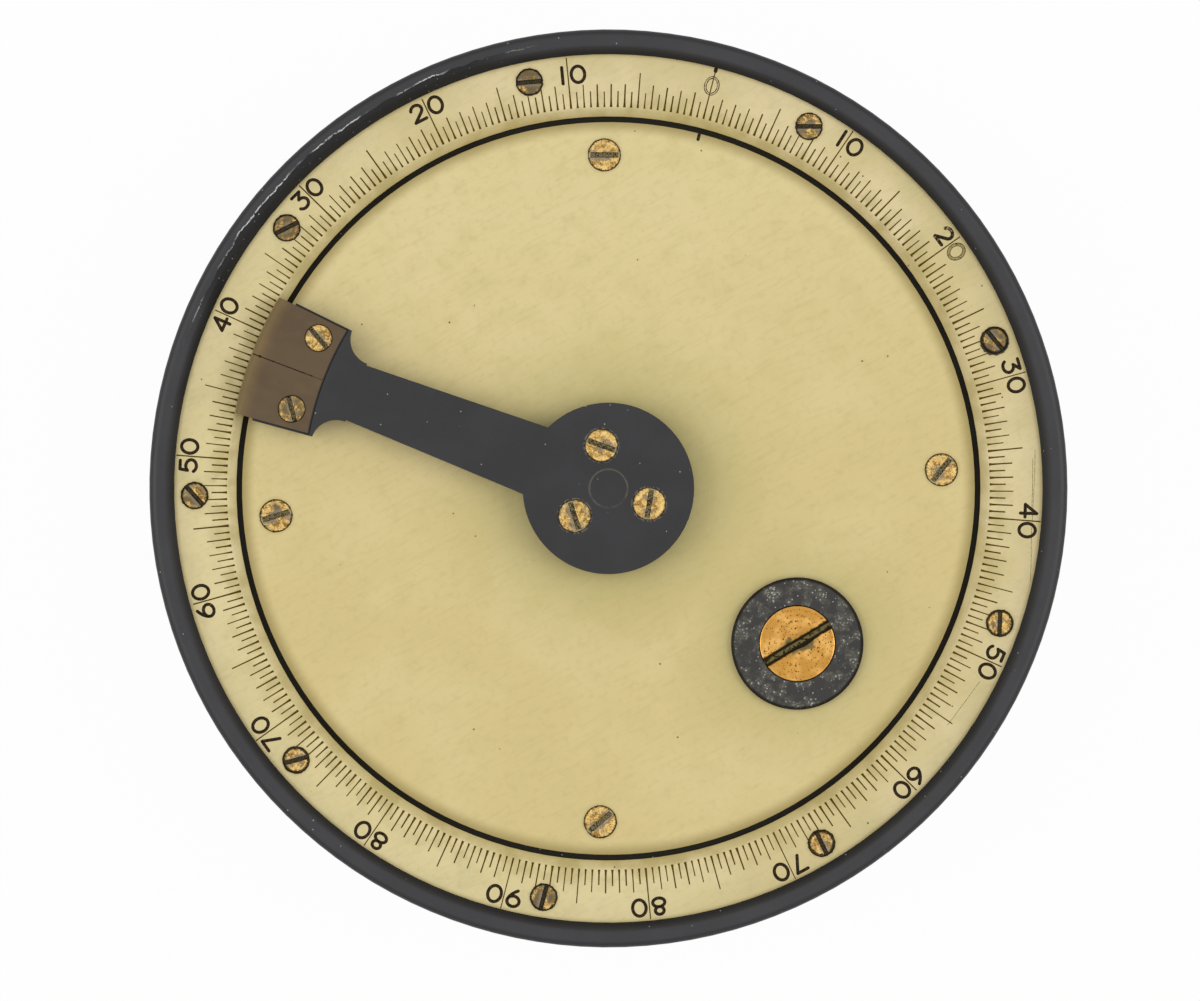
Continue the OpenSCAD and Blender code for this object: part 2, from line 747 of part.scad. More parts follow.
module pointer_plate()
    color(horn)
        at_arm()
            difference() {
                intersection() {
                    translate([0, 0, pointer_z]) linear_extrude(pointer_t) head_sides(pointer_margin);
                    rotate_extrude($fn = 192)
                        polygon([
                            [pointer_in, pointer_z], [pointer_out, pointer_z],
                            [pointer_out, pointer_top - pointer_bevel],
                            [pointer_out - pointer_bevel, pointer_top], [pointer_in, pointer_top]
                        ]);
                }
                for (p = pointer_screws_at)
                    translate([p.x, p.y, pointer_top]) small_room(pointer_screw_len + cut);
            }

module pointer_screws()
    color(brass)
        at_arm()
            for (i = places(pointer_slots))
                translate([pointer_screws_at[i].x, pointer_screws_at[i].y, pointer_top])
                    screw(small_head_d, small_shank_d, pointer_screw_len, pointer_slots[i] - arm_dir);

// Spindle and pinion

module seat_flat(d)
    translate([d / 2 - pinion_flat, -d, pinion_z - cut]) cube([d, 2 * d, pinion_top - pinion_z + cut]);

module arm_spindle()
    color(black)
        at_arm()
            difference() {
                rotate_extrude()
                    polygon([
                        [0, arm_top], [plug_d / 2, arm_top], [plug_d / 2, arm_z],
                        [spindle_flange_d / 2, arm_z], [spindle_flange_d / 2, thrust_z],
                        [spindle_d / 2, thrust_z], [spindle_d / 2, pinion_top],
                        [pinion_seat_d / 2, pinion_top], [pinion_seat_d / 2, pinion_z], [0, pinion_z]
                    ]);
                seat_flat(pinion_seat_d);
                for (p = hub_screws_at) translate([p.x, p.y, arm_top]) large_room(hub_screw_len);
                translate([0, 0, pinion_z - cut])
                    cylinder(d = pinion_shank_d + 2 * screw_clear, h = pinion_shank_len + cut + screw_clear);
            }

module friction_washer()
    color(brass)
        rotate_extrude()
            polygon([
                [spindle_d / 2 + run_clear, pinion_top],
                [bush_d / 2, deck_z - end_play - washer_t],
                [bush_d / 2, deck_z - end_play],
                [spindle_d / 2 + run_clear, pinion_top + washer_t]
            ]);

module pinion()
    color(brass)
        translate([0, 0, pinion_z])
            linear_extrude(pinion_top - pinion_z)
                difference() {
                    rotate(pivot_dir + arm_turn)
                        polygon([
                            for (i = [0:pinion_teeth - 1])
                                each tooth(pinion_teeth, (i + 0.5) * 360 / pinion_teeth)
                        ]);
                    rotate(arm_dir)
                        difference() {
                            circle(d = pinion_seat_d + 2 * press_clear);
                            translate([pinion_seat_d / 2 - pinion_flat + press_clear, -pinion_seat_d])
                                square(2 * pinion_seat_d);
                        }
                }

module pinion_screw()
    color(steel)
        difference() {
            rotate_extrude()
                polygon([
                    [0, pinion_z - pinion_screw_t], [pinion_screw_d / 2, pinion_z - pinion_screw_t],
                    [pinion_screw_d / 2, pinion_z], [pinion_shank_d / 2, pinion_z],
                    [pinion_shank_d / 2, pinion_z + pinion_shank_len], [0, pinion_z + pinion_shank_len]
                ]);
            translate([-pinion_screw_d / 2 - cut, -slot_w / 2, pinion_z - pinion_screw_t - cut])
                cube([pinion_screw_d + 2 * cut, slot_w, slot_depth + cut]);
        }

// Arbor, sector and index mirror

module mirror_arbor()
    color(brass)
        at_index()
            difference() {
                rotate_extrude()
                    polygon([
                        [0, arbor_top], [journal_d / 2, arbor_top], [journal_d / 2, deck_z - end_play],
                        [collet_d / 2, deck_z - end_play], [collet_d / 2, sector_z],
                        [arbor_flange_d / 2, sector_z], [arbor_flange_d / 2, arbor_z], [0, arbor_z]
                    ]);
                translate([0, 0, arbor_top - arbor_shank_len - screw_clear])
                    cylinder(d = arbor_shank_d + 2 * screw_clear, h = arbor_shank_len + cut);
                for (p = sector_screws_at) translate([p.x, p.y, sector_top]) inner_room(sector_screw_len);
                for (p = frame_screws_at) frame_screw_room(p);
            }

module arbor_screw()
    color(brass)
        translate(pivot)
            difference() {
                rotate_extrude()
                    polygon([
                        [0, collar_top], [arbor_screw_d / 2 - head_land, collar_top],
                        [arbor_screw_d / 2, collar_top - head_land], [arbor_screw_d / 2, arbor_top],
                        [arbor_shank_d / 2, arbor_top], [arbor_shank_d / 2, arbor_top - arbor_shank_len],
                        [0, arbor_top - arbor_shank_len]
                    ]);
                rotate(arbor_slot_dir)
                    translate([-arbor_screw_d / 2 - cut, -arbor_slot_w / 2, collar_top - arbor_screw_t / 2])
                        cube([arbor_screw_d + 2 * cut, arbor_slot_w, arbor_screw_t]);
            }

spoke_dirs = [for (s = [-1, 0, 1]) s * (sector_half - tooth_pitch)];

module sector_outline() {
    rim = arc([0, 0], sector_inner_r, sector_half, -sector_half, 2 * side_teeth + 1);
    teeth = [for (i = [-side_teeth:side_teeth]) each tooth(sector_teeth, i * tooth_pitch)];
    polygon(concat([polar(sector_root_r, -sector_half)], teeth, [polar(sector_root_r, sector_half)], rim));
    circle(d = arbor_flange_d);
    for (a = spoke_dirs)
        rotate(a)
            translate([0, -spoke_w / 2]) square([sector_inner_r + sector_rim / 2, spoke_w]);
}

module sector_gear()
    color(brass)
        difference() {
            at_pivot()
                translate([0, 0, sector_z])
                    linear_extrude(sector_t)
                        difference() {
                            rotate(pivot_dir + 180) sector_outline();
                            circle(d = collet_d + 2 * press_clear);
                        }
            at_index()
                for (p = sector_screws_at) translate([p.x, p.y, sector_top]) inner_room(sector_screw_len);
        }

module sector_screws()
    color(steel)
        at_index()
            for (p = sector_screws_at)
                translate([p.x, p.y, sector_top])
                    screw(inner_head_d, inner_shank_d, sector_screw_len, sector_slot, 0);

module frame_screw_room(p)
    translate([p.x, p.y, arbor_z - foot_t]) mirror([0, 0, 1]) inner_room(frame_screw_len);

module index_mirror_frame() {
    foot_w = 2 * (frame_screws_at[1].x + inner_head_d);
    color(black)
        at_index()
            difference() {
                union() {
                    channel(mirror_w, mirror_t, mirror_h);
                    translate([-foot_w / 2, -arbor_flange_d / 2, arbor_z - foot_t])
                        cube([foot_w, arbor_flange_d / 2 - index_back + frame_wall / 2, foot_t]);
                }
                for (p = frame_screws_at) frame_screw_room(p);
            }
}

module index_mirror()
    color(glass)
        at_index() translate([-mirror_w / 2, -mirror_t, glass_z]) cube([mirror_w, mirror_t, mirror_h]);

module index_frame_screws()
    color(brass)
        at_index()
            for (p = frame_screws_at)
                translate([p.x, p.y, arbor_z - foot_t])
                    mirror([0, 0, 1]) screw(inner_head_d, inner_shank_d, frame_screw_len, frame_slot, 0);

case_drum();
deck_plate();
base_plate();
base_screws();
scale_ring();
scale_ring_screws();
dial_disc();
dial_disc_screws();
centre_bush();
arbor_bush();
horizon_bracket();
horizon_mirror();
horizon_silver();
horizon_bracket_screws();
eye_bush();
stop_pins();
hairspring();
spring_stud();
index_arm();
hub_screws();
pointer_plate();
pointer_screws();
arm_spindle();
friction_washer();
pinion();
pinion_screw();
mirror_arbor();
arbor_screw();
sector_gear();
sector_screws();
index_mirror_frame();
index_mirror();
index_frame_screws();
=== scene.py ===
import logging
import math
import random
from collections.abc import Iterable, Sequence
from dataclasses import dataclass, field
from enum import Enum
from typing import Any

import bmesh
import bpy
from mathutils import Matrix, Vector


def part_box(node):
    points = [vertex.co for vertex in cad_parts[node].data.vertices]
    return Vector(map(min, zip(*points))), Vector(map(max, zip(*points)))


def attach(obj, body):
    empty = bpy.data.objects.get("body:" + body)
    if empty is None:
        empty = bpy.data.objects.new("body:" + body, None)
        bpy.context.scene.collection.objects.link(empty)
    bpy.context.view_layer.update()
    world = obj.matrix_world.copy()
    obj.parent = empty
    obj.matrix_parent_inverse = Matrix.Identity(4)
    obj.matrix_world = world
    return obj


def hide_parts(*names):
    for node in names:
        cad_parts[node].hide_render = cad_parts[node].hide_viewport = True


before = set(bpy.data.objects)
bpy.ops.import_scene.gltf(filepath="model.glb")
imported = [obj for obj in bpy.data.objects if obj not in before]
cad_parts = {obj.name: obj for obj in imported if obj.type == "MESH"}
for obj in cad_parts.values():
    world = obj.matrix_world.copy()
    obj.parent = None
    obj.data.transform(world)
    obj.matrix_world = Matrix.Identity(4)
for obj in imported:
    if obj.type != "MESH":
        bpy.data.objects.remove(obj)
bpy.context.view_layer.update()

LOG = logging.getLogger("sextant")

# Sizes are in millimetres and directions in degrees, unless a name says otherwise
MM = 0.001
Socket = bpy.types.NodeSocket
Tree = bpy.types.NodeTree
Mesh = bpy.types.Mesh
Flat = tuple[float, float]
Point = tuple[float, float, float]


def level_of(node: str, corner: int) -> float:
    """Height of a node's lowest corner, which is number 0, or of its highest, number 1."""
    return round(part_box(node)[corner][2] / MM, 2)


BASE_FACE = level_of("base_screws", 0)
DIAL_TOP = level_of("dial_disc", 1)
RING_TOP = level_of("scale_ring", 1)
COLLAR_TOP = level_of("arbor_bush", 1)
PLATE_TOP = level_of("pointer_plate", 1)
ARM_TOP = level_of("index_arm", 1)
ZERO_DIR = 75.6
SIGHT_DIR = 75.85
ARM_DIR = 159.25
PIVOT = (24.689, -20.279)
RIM_R = 60.0
BASE_R = 57.0
HUB_R = 11.2
PLUG_R = 2.5
COLLAR_R = 8.65
PLATE_IN = 39.85
SMALL_HEAD = 3.5
LARGE_HEAD = 4.2
BASE_SCREW_R = 53.45
BASE_SCREW_STEP = 60
RING_SCREW_R = 54.1
RING_SCREW_DIR = 21
RING_SCREW_STEP = 40
DISC_SCREW_R = 43.6
DISC_SCREW_DIRS = (90.7, 184.7, 268.6, 3.2)
HUB_SCREW_R = 5.7
HUB_SCREW_TURNS = (60, 180, 300)
PLATE_SCREW_OUT = 42.35
PLATE_SCREW_SIDE = 4.95
# Farther than any two points of the object
FAR = 1000.0
# Points nearer than this are one, and faces that meet at less than this angle are one
JOIN = 0.0005
IN_PLANE = 0.05
# Edges sharper than this keep their crease in the shading
CREASE = 40.0
# Points of an oval are so many degrees apart, and a whole one stops a step before its start
OVAL_STEP = 9
WHOLE = (0, 360 - OVAL_STEP)


class Body(Enum):
    """The three bodies that move against each other."""

    CASE = "case"
    ARM = "arm"
    MIRROR = "index_mirror"


class Slot(Enum):
    """The material slots that the finishes belong to."""

    LACQUER = "black_lacquer"
    BRONZE = "dark_bronze"
    IVORINE = "ivorine"
    HORN = "horn"
    BRASS = "brass"
    STEEL = "steel"
    SILVER = "mirror_glass"
    GLASS = "clear_glass"


def srgb(code: str) -> tuple[float, ...]:
    """Turn an sRGB hex colour into linear light.

    Args:
        code: Six hex digits after a hash.

    Returns:
        Red, green and blue in linear light, and full opacity.
    """
    raw = [int(code[i:i + 2], 16) / 255 for i in (1, 3, 5)]
    light = [c / 12.92 if c <= 0.04045 else ((c + 0.055) / 1.055) ** 2.4 for c in raw]
    return (*light, 1.0)


def per(size: float) -> float:
    """Scale of a pattern whose features are about so many millimetres across."""
    return 1.0 / size


def polar(radius: float, direction: float) -> Flat:
    """Point at a radius from the middle of the dial, in a direction."""
    turn = math.radians(direction)
    return radius * math.cos(turn), radius * math.sin(turn)


def add_node(
    tree: Tree,
    kind: str,
    inputs: dict[int | str, Any] | None = None,
    out: int | str = 0,
    **settings: Any,
) -> Socket | None:
    """Add a node, with its settings and its links.

    Args:
        tree: Tree that gets the node.
        kind: Blender's name for the kind of node.
        inputs: Sockets to link and values to set, by input name or number.
        out: Output to hand on, by name or number.
        **settings: Properties of the node itself.

    Returns:
        The chosen output, or None where the node has none.
    """
    node = tree.nodes.new(kind)
    for key, value in settings.items():
        setattr(node, key, value)
    for key, value in (inputs or {}).items():
        if isinstance(value, Socket):
            tree.links.new(value, node.inputs[key])
        else:
            node.inputs[key].default_value = value
    return node.outputs[out] if node.outputs else None


@dataclass(frozen=True)
class Gate:
    """A value that opens a layer of colour on its way from shut to open."""

    value: Socket
    shut: float
    open: float


# Gates of a layer, its strength where all of them are open, and its colour
Layer = tuple[Sequence[Gate], float, str]


def lay(tree: Tree, ground: str, layers: Iterable[Layer]) -> Socket:
    """Lay colours over a ground, each where its gates are open.

    Args:
        tree: Tree that gets the nodes.
        ground: Colour under all layers.
        layers: The layers, from the lowest up.

    Returns:
        The finished colour.
    """
    colour: Any = srgb(ground)
    for gates, most, shade in layers:
        mask: Any = most
        for gate in gates:
            opened = add_node(
                tree, "ShaderNodeMapRange", {0: gate.value, 1: gate.shut, 2: gate.open},
                interpolation_type="SMOOTHSTEP",
            )
            mask = add_node(tree, "ShaderNodeMath", {0: opened, 1: mask}, operation="MULTIPLY")
        colour = add_node(
            tree, "ShaderNodeMix", {0: mask, 6: colour, 7: srgb(shade)}, out=2, data_type="RGBA"
        )
    return colour


def flecks(
    tree: Tree, place: Socket, spacing: float, size: float, share: float, flat: bool = False
) -> list[Gate]:
    """Scatter small flecks through the material.

    Args:
        tree: Tree that gets the nodes.
        place: Position in millimetres.
        spacing: Distance between the cells that may hold a fleck.
        size: Radius of a fleck.
        share: Share of the cells that hold one.
        flat: Whether they lie on a level face, where every cell then shows its fleck.

    Returns:
        Gates that are open on the flecks.
    """
    ragged = add_node(tree, "ShaderNodeTexNoise", {"Vector": place, "Scale": per(2 * size)}, out="Color")
    drift = add_node(
        tree, "ShaderNodeVectorMath", {0: ragged, 1: (size,) * 3, 2: place}, operation="MULTIPLY_ADD"
    )
    away = add_node(
        tree, "ShaderNodeTexVoronoi", {"Vector": drift, "Scale": per(spacing)}, out="Distance",
        voronoi_dimensions="2D" if flat else "3D",
    )
    pick = add_node(tree, "ShaderNodeSeparateColor", {0: away.node.outputs["Color"]}, out="Red")
    reach = size / spacing
    return [Gate(away, reach, 0.6 * reach), Gate(pick, share, share - 0.02)]


@dataclass(frozen=True)
class Round:
    """A round outline seen from above."""

    x: float
    y: float
    radius: float


@dataclass(frozen=True)
class Band:
    """A change of colour with the distance from the middle of the dial, and how strong it gets."""

    clean: float
    full: float
    most: float


def edge_distance(tree: Tree, place: Socket, rounds: Iterable[Round]) -> Socket:
    """Measure how far a point lies outside the nearest of several round outlines.

    Args:
        tree: Tree that gets the nodes.
        place: Position in millimetres.
        rounds: Outlines, seen from above.

    Returns:
        Distance in millimetres, below zero inside an outline.
    """
    flat = add_node(tree, "ShaderNodeVectorMath", {0: place, 1: (1, 1, 0)}, operation="MULTIPLY")
    nearest: Any = FAR
    for spot in rounds:
        reach = add_node(
            tree, "ShaderNodeVectorMath", {0: flat, 1: (spot.x, spot.y, 0)}, out="Value",
            operation="DISTANCE",
        )
        past = add_node(tree, "ShaderNodeMath", {0: reach, 1: spot.radius}, operation="SUBTRACT")
        nearest = add_node(tree, "ShaderNodeMath", {0: past, 1: nearest}, operation="MINIMUM")
    return nearest


def screw_heads(radius: float, directions: Iterable[float], head: float) -> tuple[Round, ...]:
    """Outlines of screw heads that lie at one radius."""
    return tuple(Round(*polar(radius, direction), head / 2) for direction in directions)


def shrunk(rounds: Iterable[Round], by: float) -> tuple[Round, ...]:
    """Outlines a little inside others."""
    return tuple(Round(spot.x, spot.y, spot.radius - by) for spot in rounds)


BASE_SCREWS = screw_heads(BASE_SCREW_R, range(0, 360, BASE_SCREW_STEP), SMALL_HEAD)
RING_SCREWS = screw_heads(
    RING_SCREW_R, range(RING_SCREW_DIR, RING_SCREW_DIR + 360, RING_SCREW_STEP), SMALL_HEAD
)
DISC_SCREWS = screw_heads(DISC_SCREW_R, DISC_SCREW_DIRS, LARGE_HEAD)
HUB_SCREWS = screw_heads(HUB_SCREW_R, [ARM_DIR + turn for turn in HUB_SCREW_TURNS], LARGE_HEAD)
PLATE_SCREW_R = math.hypot(PLATE_SCREW_OUT, PLATE_SCREW_SIDE)
PLATE_SCREW_TURN = math.degrees(math.atan2(PLATE_SCREW_SIDE, PLATE_SCREW_OUT))
PLATE_SCREWS = screw_heads(
    PLATE_SCREW_R, (ARM_DIR - PLATE_SCREW_TURN, ARM_DIR + PLATE_SCREW_TURN), SMALL_HEAD
)
# Dirt starts under the edge of each head, and lies off the middle of the first on the ring
RING_SEATS = (
    Round(*polar(RING_SCREW_R - 0.1, RING_SCREW_DIR - 0.1), SMALL_HEAD / 2 + 0.01),
    *shrunk(RING_SCREWS[1:], 0.08),
)
DISC_SEATS = shrunk(DISC_SCREWS, 0.1)
MIDDLE = Round(0, 0, 0)
HUB = Round(0, 0, HUB_R)
COLLAR = Round(*PIVOT, COLLAR_R)
# The collar's painted shade starts well inside its edge
COLLAR_SHADE = Round(*PIVOT, COLLAR_R - 3)
# So wide that no darkened edge shows inside it
EDGELESS = Round(0, 0, 100)


def bare_tree(owner: bpy.types.Material | bpy.types.World) -> Tree:
    """Give a material or a world an empty tree of nodes.

    Args:
        owner: The material or world.

    Returns:
        Its tree.
    """
    owner.use_nodes = True
    owner.node_tree.nodes.clear()
    return owner.node_tree


@dataclass(frozen=True)
class Finish:
    """A surface as it was made, and the node material that shows it."""

    name: str
    slot: Slot

    def paint(self, tree: Tree, place: Socket) -> dict[str, Any]:
        """Lay out the finish.

        Args:
            tree: Tree of the material.
            place: Position in millimetres.

        Returns:
            Inputs of the surface shader, by name.
        """
        raise NotImplementedError

    def material(self) -> bpy.types.Material:
        """Build the finish's material the first time, and give the same one after that.

        Returns:
            The material.
        """
        made = bpy.data.materials.get(self.name)
        if made:
            return made
        made = bpy.data.materials.new(self.name)
        tree = bare_tree(made)
        metres = add_node(tree, "ShaderNodeTexCoord", out="Object")
        place = add_node(tree, "ShaderNodeVectorMath", {0: metres, "Scale": 1 / MM}, operation="SCALE")
        surface = add_node(tree, "ShaderNodeBsdfPrincipled", self.paint(tree, place))
        add_node(tree, "ShaderNodeOutputMaterial", {"Surface": surface})
        return made


@dataclass(frozen=True)
class Ivorine(Finish):
    """Pressed celluloid sheet with an imitated grain.

    The eye sees a satin, slightly waxy cream: cloudy warm and greenish patches, fine streaks
    that rise to the right, a few dark specks, and brown dirt round the screws. Its edges are
    darker, partly dirt and partly painted shade where they sink into the groove and meet the
    rim. Painted shade lies round the hub and the collar, and one side is painted lighter, as
    painted light.
    """

    ground: str
    warm: str
    # Colour of the side painted lighter: painted light
    light: str
    greenish: str
    # Darker towards the edges: dirt, and painted shade where they sink into the groove and meet the rim
    edges: tuple[Band, ...]
    patchy: tuple[Band, ...]
    spots: tuple[Round, ...]
    # Outlines round which the cream is darkened as painted shade
    shaded: tuple[Round, ...]
    # Direction towards which the cream is painted lighter, as painted light
    light_dir: float
    streak: str = "#B7A468"
    # Colour of the painted shade round the hub and the collar
    shade: str = "#A8A35C"
    # Colour of the dirt, and of the painted shade at the edges
    dirt: str = "#86732F"
    grime: str = "#3A2F1B"
    grain_dir: float = 28.0
    grain_size: Point = (3.4, 0.5, 0.5)

    def paint(self, tree: Tree, place: Socket) -> dict[str, Any]:
        """Lay patches, streaks, specks and dirt over the cream.

        Args:
            tree: Tree of the material.
            place: Position in millimetres.

        Returns:
            Inputs of the surface shader, by name.
        """
        along = add_node(
            tree, "ShaderNodeMapping",
            {"Vector": place, "Rotation": (0, 0, math.radians(self.grain_dir)), "Scale": self.grain_size},
            vector_type="TEXTURE",
        )
        grain = add_node(tree, "ShaderNodeTexNoise", {"Vector": along, "Scale": per(1.0), "Detail": 2.0})
        clouds, patches, mottle, ragged = (
            add_node(tree, "ShaderNodeTexNoise", {"Vector": place, "Scale": per(size), "Detail": detail})
            for size, detail in ((16.0, 2.0), (3.5, 3.0), (0.9, 2.0), (0.5, 2.0))
        )
        # Painted light: the cream grows lighter towards one side
        painted_light_and_ink_fade = add_node(
            tree, "ShaderNodeVectorMath", {0: place, 1: (*polar(1, self.light_dir), 0)}, out="Value",
            operation="DOT_PRODUCT",
        )
        radius = edge_distance(tree, place, [MIDDLE])
        near = edge_distance(tree, place, self.shaded)
        seat = add_node(
            tree, "ShaderNodeMath",
            {0: ragged, 1: -0.4, 2: edge_distance(tree, place, self.spots)}, operation="MULTIPLY_ADD",
        )
        layers = [
            ([Gate(clouds, 0.4, 0.64)], 0.9, self.warm),
            # Painted light on one side
            ([Gate(painted_light_and_ink_fade, -12.0, 42.0)], 0.6, self.light),
            ([Gate(patches, 0.46, 0.7)], 0.45, self.greenish),
            ([Gate(mottle, 0.5, 0.75)], 0.16, self.streak),
            ([Gate(grain, 0.48, 0.74)], 0.14, self.streak),
            # Painted shade round the hub and the collar
            ([Gate(near, 14.0, 0.0)], 0.36, self.shade),
        ]
        # Dirt and painted shade towards the edges
        layers += [([Gate(radius, band.clean, band.full)], band.most, self.dirt) for band in self.edges]
        for band in self.patchy:
            gates = [Gate(radius, band.clean, band.full), Gate(patches, 0.4, 0.62)]
            layers.append((gates, band.most, self.dirt))
        layers += [
            (flecks(tree, place, 3.0, 0.16, 0.35), 0.85, self.grime),
            (flecks(tree, place, 2.6, 0.2, 0.2), 0.5, self.warm),
            ([Gate(seat, 0.5, -0.2)], 0.22, self.dirt),
            ([Gate(seat, 0.0, -0.12)], 1.0, self.grime),
        ]
        gloss = add_node(tree, "ShaderNodeMapRange", {0: patches, 1: 0.3, 2: 0.7, 3: 0.38, 4: 0.5})
        relief = add_node(
            tree, "ShaderNodeBump", {"Strength": 0.12, "Distance": 0.03 * MM, "Height": grain}
        )
        colour = lay(tree, self.ground, layers)
        return {"Base Color": colour, "Roughness": gloss, "Normal": relief, "IOR": 1.5}


@dataclass(frozen=True)
class WornArc:
    """A stretch of rim where the lacquer has been rubbed along a line, fading at its ends."""

    radius: float
    start: float
    end: float
    fade: float = 12.0


@dataclass(frozen=True)
class Window:
    """An opening in the case's wall: the direction of its middle, half its width, and its heights."""

    middle: float
    half: float
    low: float
    high: float


@dataclass(frozen=True)
class BlackLacquer(Finish):
    """Stoved black lacquer on brass, rubbed down to satin.

    The eye sees an even soft black with a faint grey bloom, pale dust, and pale chips where
    a hand, a lid or a screwdriver has rubbed it. Edges that are often touched are worn to
    brown and then to dull brass, and a wall that slides into its case has upright scuffs,
    drawn broader than real ones so that they show.
    """

    ground: str = "#2E2E2F"
    bloom: str = "#363638"
    dust: str = "#A9A9A4"
    # Near black: the rubbed line along each worn arc, and painted shade in the dark bands
    rub: str = "#070707"
    chip: str = "#D6D5CF"
    worn_ring: str = "#7A7468"
    scuff: str = "#4B4B4D"
    thin: str = "#453B2D"
    bare: str = "#8C7246"
    roughness: float = 0.46
    top_from: float = 31.5
    # Bands darkened on the top as painted shade and painted dark reflection
    dark: tuple[Band, ...] = ()
    worn: tuple[WornArc, ...] = ()
    rings: tuple[Round, ...] = ()
    seats: tuple[Round, ...] = ()
    arrises: tuple[Flat, ...] = ()
    windows: tuple[Window, ...] = ()
    wall_r: float = 58.6
    scuff_size: Point = (0.45, 0.45, 7.0)
    scuff_dir: float = 0.0
    wander: float = 1.2

    def edge_reach(self, tree: Tree, radius: Socket, angle: Socket, height: Socket) -> Socket:
        """Measure how far a point lies from the nearest edge that hands rub.

        Args:
            tree: Tree that gets the nodes.
            radius: Distance from the axis in millimetres.
            angle: Direction from the axis in degrees.
            height: Height in millimetres.

        Returns:
            Distance in millimetres.
        """
        nearest: Any = FAR
        for edge_r, edge_z in self.arrises:
            spot = add_node(tree, "ShaderNodeCombineXYZ", {"X": radius, "Y": height})
            reach = add_node(
                tree, "ShaderNodeVectorMath", {0: spot, 1: (edge_r, edge_z, 0)}, out="Value",
                operation="DISTANCE",
            )
            nearest = add_node(tree, "ShaderNodeMath", {0: reach, 1: nearest}, operation="MINIMUM")
        degree = math.radians(self.wall_r)
        for window in self.windows:
            off = add_node(tree, "ShaderNodeMath", {0: angle, 1: window.middle}, operation="SUBTRACT")
            turned = add_node(tree, "ShaderNodeMath", {0: off, 1: -180.0, 2: 180.0}, operation="WRAP")
            sides = add_node(tree, "ShaderNodeMath", {0: turned}, operation="ABSOLUTE")
            past_side = add_node(
                tree, "ShaderNodeMath", {0: sides, 1: degree, 2: -window.half * degree},
                operation="MULTIPLY_ADD",
            )
            middle, half = (window.low + window.high) / 2, (window.high - window.low) / 2
            up = add_node(tree, "ShaderNodeMath", {0: height, 1: middle}, operation="SUBTRACT")
            level = add_node(tree, "ShaderNodeMath", {0: up}, operation="ABSOLUTE")
            past_sill = add_node(tree, "ShaderNodeMath", {0: level, 1: half}, operation="SUBTRACT")
            past = add_node(tree, "ShaderNodeMath", {0: past_side, 1: past_sill}, operation="MAXIMUM")
            beside_edge = add_node(tree, "ShaderNodeMath", {0: past}, operation="ABSOLUTE")
            inward = add_node(tree, "ShaderNodeMath", {0: self.wall_r, 1: radius}, operation="SUBTRACT")
            reach = add_node(tree, "ShaderNodeMath", {0: beside_edge, 1: inward}, operation="MAXIMUM")
            nearest = add_node(tree, "ShaderNodeMath", {0: reach, 1: nearest}, operation="MINIMUM")
        return nearest

    def paint(self, tree: Tree, place: Socket) -> dict[str, Any]:
        """Lay bloom, wear and dust over the black.

        Args:
            tree: Tree of the material.
            place: Position in millimetres.

        Returns:
            Inputs of the surface shader, by name.
        """
        clouds = add_node(tree, "ShaderNodeTexNoise", {"Vector": place, "Scale": per(7.0), "Detail": 3.0})
        fine = add_node(tree, "ShaderNodeTexNoise", {"Vector": place, "Scale": per(0.35), "Detail": 2.0})
        flakes = add_node(
            tree, "ShaderNodeTexNoise",
            {"Vector": place, "Scale": per(2.6), "Detail": 6.0, "Roughness": 0.62},
        )
        x = add_node(tree, "ShaderNodeSeparateXYZ", {0: place}, out="X")
        turn = add_node(tree, "ShaderNodeMath", {0: x.node.outputs["Y"], 1: x}, operation="ARCTAN2")
        angle = add_node(tree, "ShaderNodeMath", {0: turn}, operation="DEGREES")
        radius = edge_distance(tree, place, [MIDDLE])
        top = Gate(x.node.outputs["Z"], self.top_from, self.top_from + 0.3)
        layers = [
            ([Gate(clouds, 0.4, 0.66)], 0.5, self.bloom),
            ([Gate(fine, 0.5, 0.75)], 0.3, self.bloom),
        ]
        # Painted shade and painted dark reflection, in bands by radius on the top
        for band in self.dark:
            layers.append(([top, Gate(radius, band.clean, band.full)], band.most, self.rub))
        for arc in self.worn:
            strayed = add_node(
                tree, "ShaderNodeMath", {0: flakes, 1: self.wander, 2: radius}, operation="MULTIPLY_ADD"
            )
            past = add_node(
                tree, "ShaderNodeMath", {0: strayed, 1: arc.radius + self.wander / 2}, operation="SUBTRACT"
            )
            line = add_node(tree, "ShaderNodeMath", {0: past}, operation="ABSOLUTE")
            stretch = [
                top, Gate(angle, arc.start, arc.start + arc.fade), Gate(angle, arc.end, arc.end - arc.fade),
            ]
            layers.append(([*stretch, Gate(past, 0.05, -0.05)], 0.88, self.rub))
            specks = [*stretch, Gate(past, 0.0, -0.3), *flecks(tree, place, 0.7, 0.09, 0.6)]
            layers.append((specks, 0.4, self.dust))
            chips = [*stretch, Gate(line, 0.12, 0.03), Gate(clouds, 0.4, 0.54), Gate(fine, 0.34, 0.48)]
            layers.append((chips, 0.88, self.chip))
        if self.arrises:
            height = x.node.outputs["Z"]
            along = add_node(
                tree, "ShaderNodeMapping",
                {
                    "Vector": place, "Rotation": (0, 0, math.radians(self.scuff_dir)),
                    "Scale": self.scuff_size,
                },
                vector_type="TEXTURE",
            )
            scuffs, handled = (
                add_node(
                    tree, "ShaderNodeTexNoise", {"Vector": where, "Scale": per(size), "Detail": detail}
                )
                for where, size, detail in ((along, 1.0, 3.0), (place, 17.0, 2.0))
            )
            below = Gate(height, self.top_from, self.top_from - 1.0)
            scuffed = [below, Gate(scuffs, 0.52, 0.68), Gate(clouds, 0.38, 0.6)]
            edge = self.edge_reach(tree, radius, angle, height)
            thinned = [Gate(edge, 0.9, 0.25), Gate(flakes, 0.4, 0.56)]
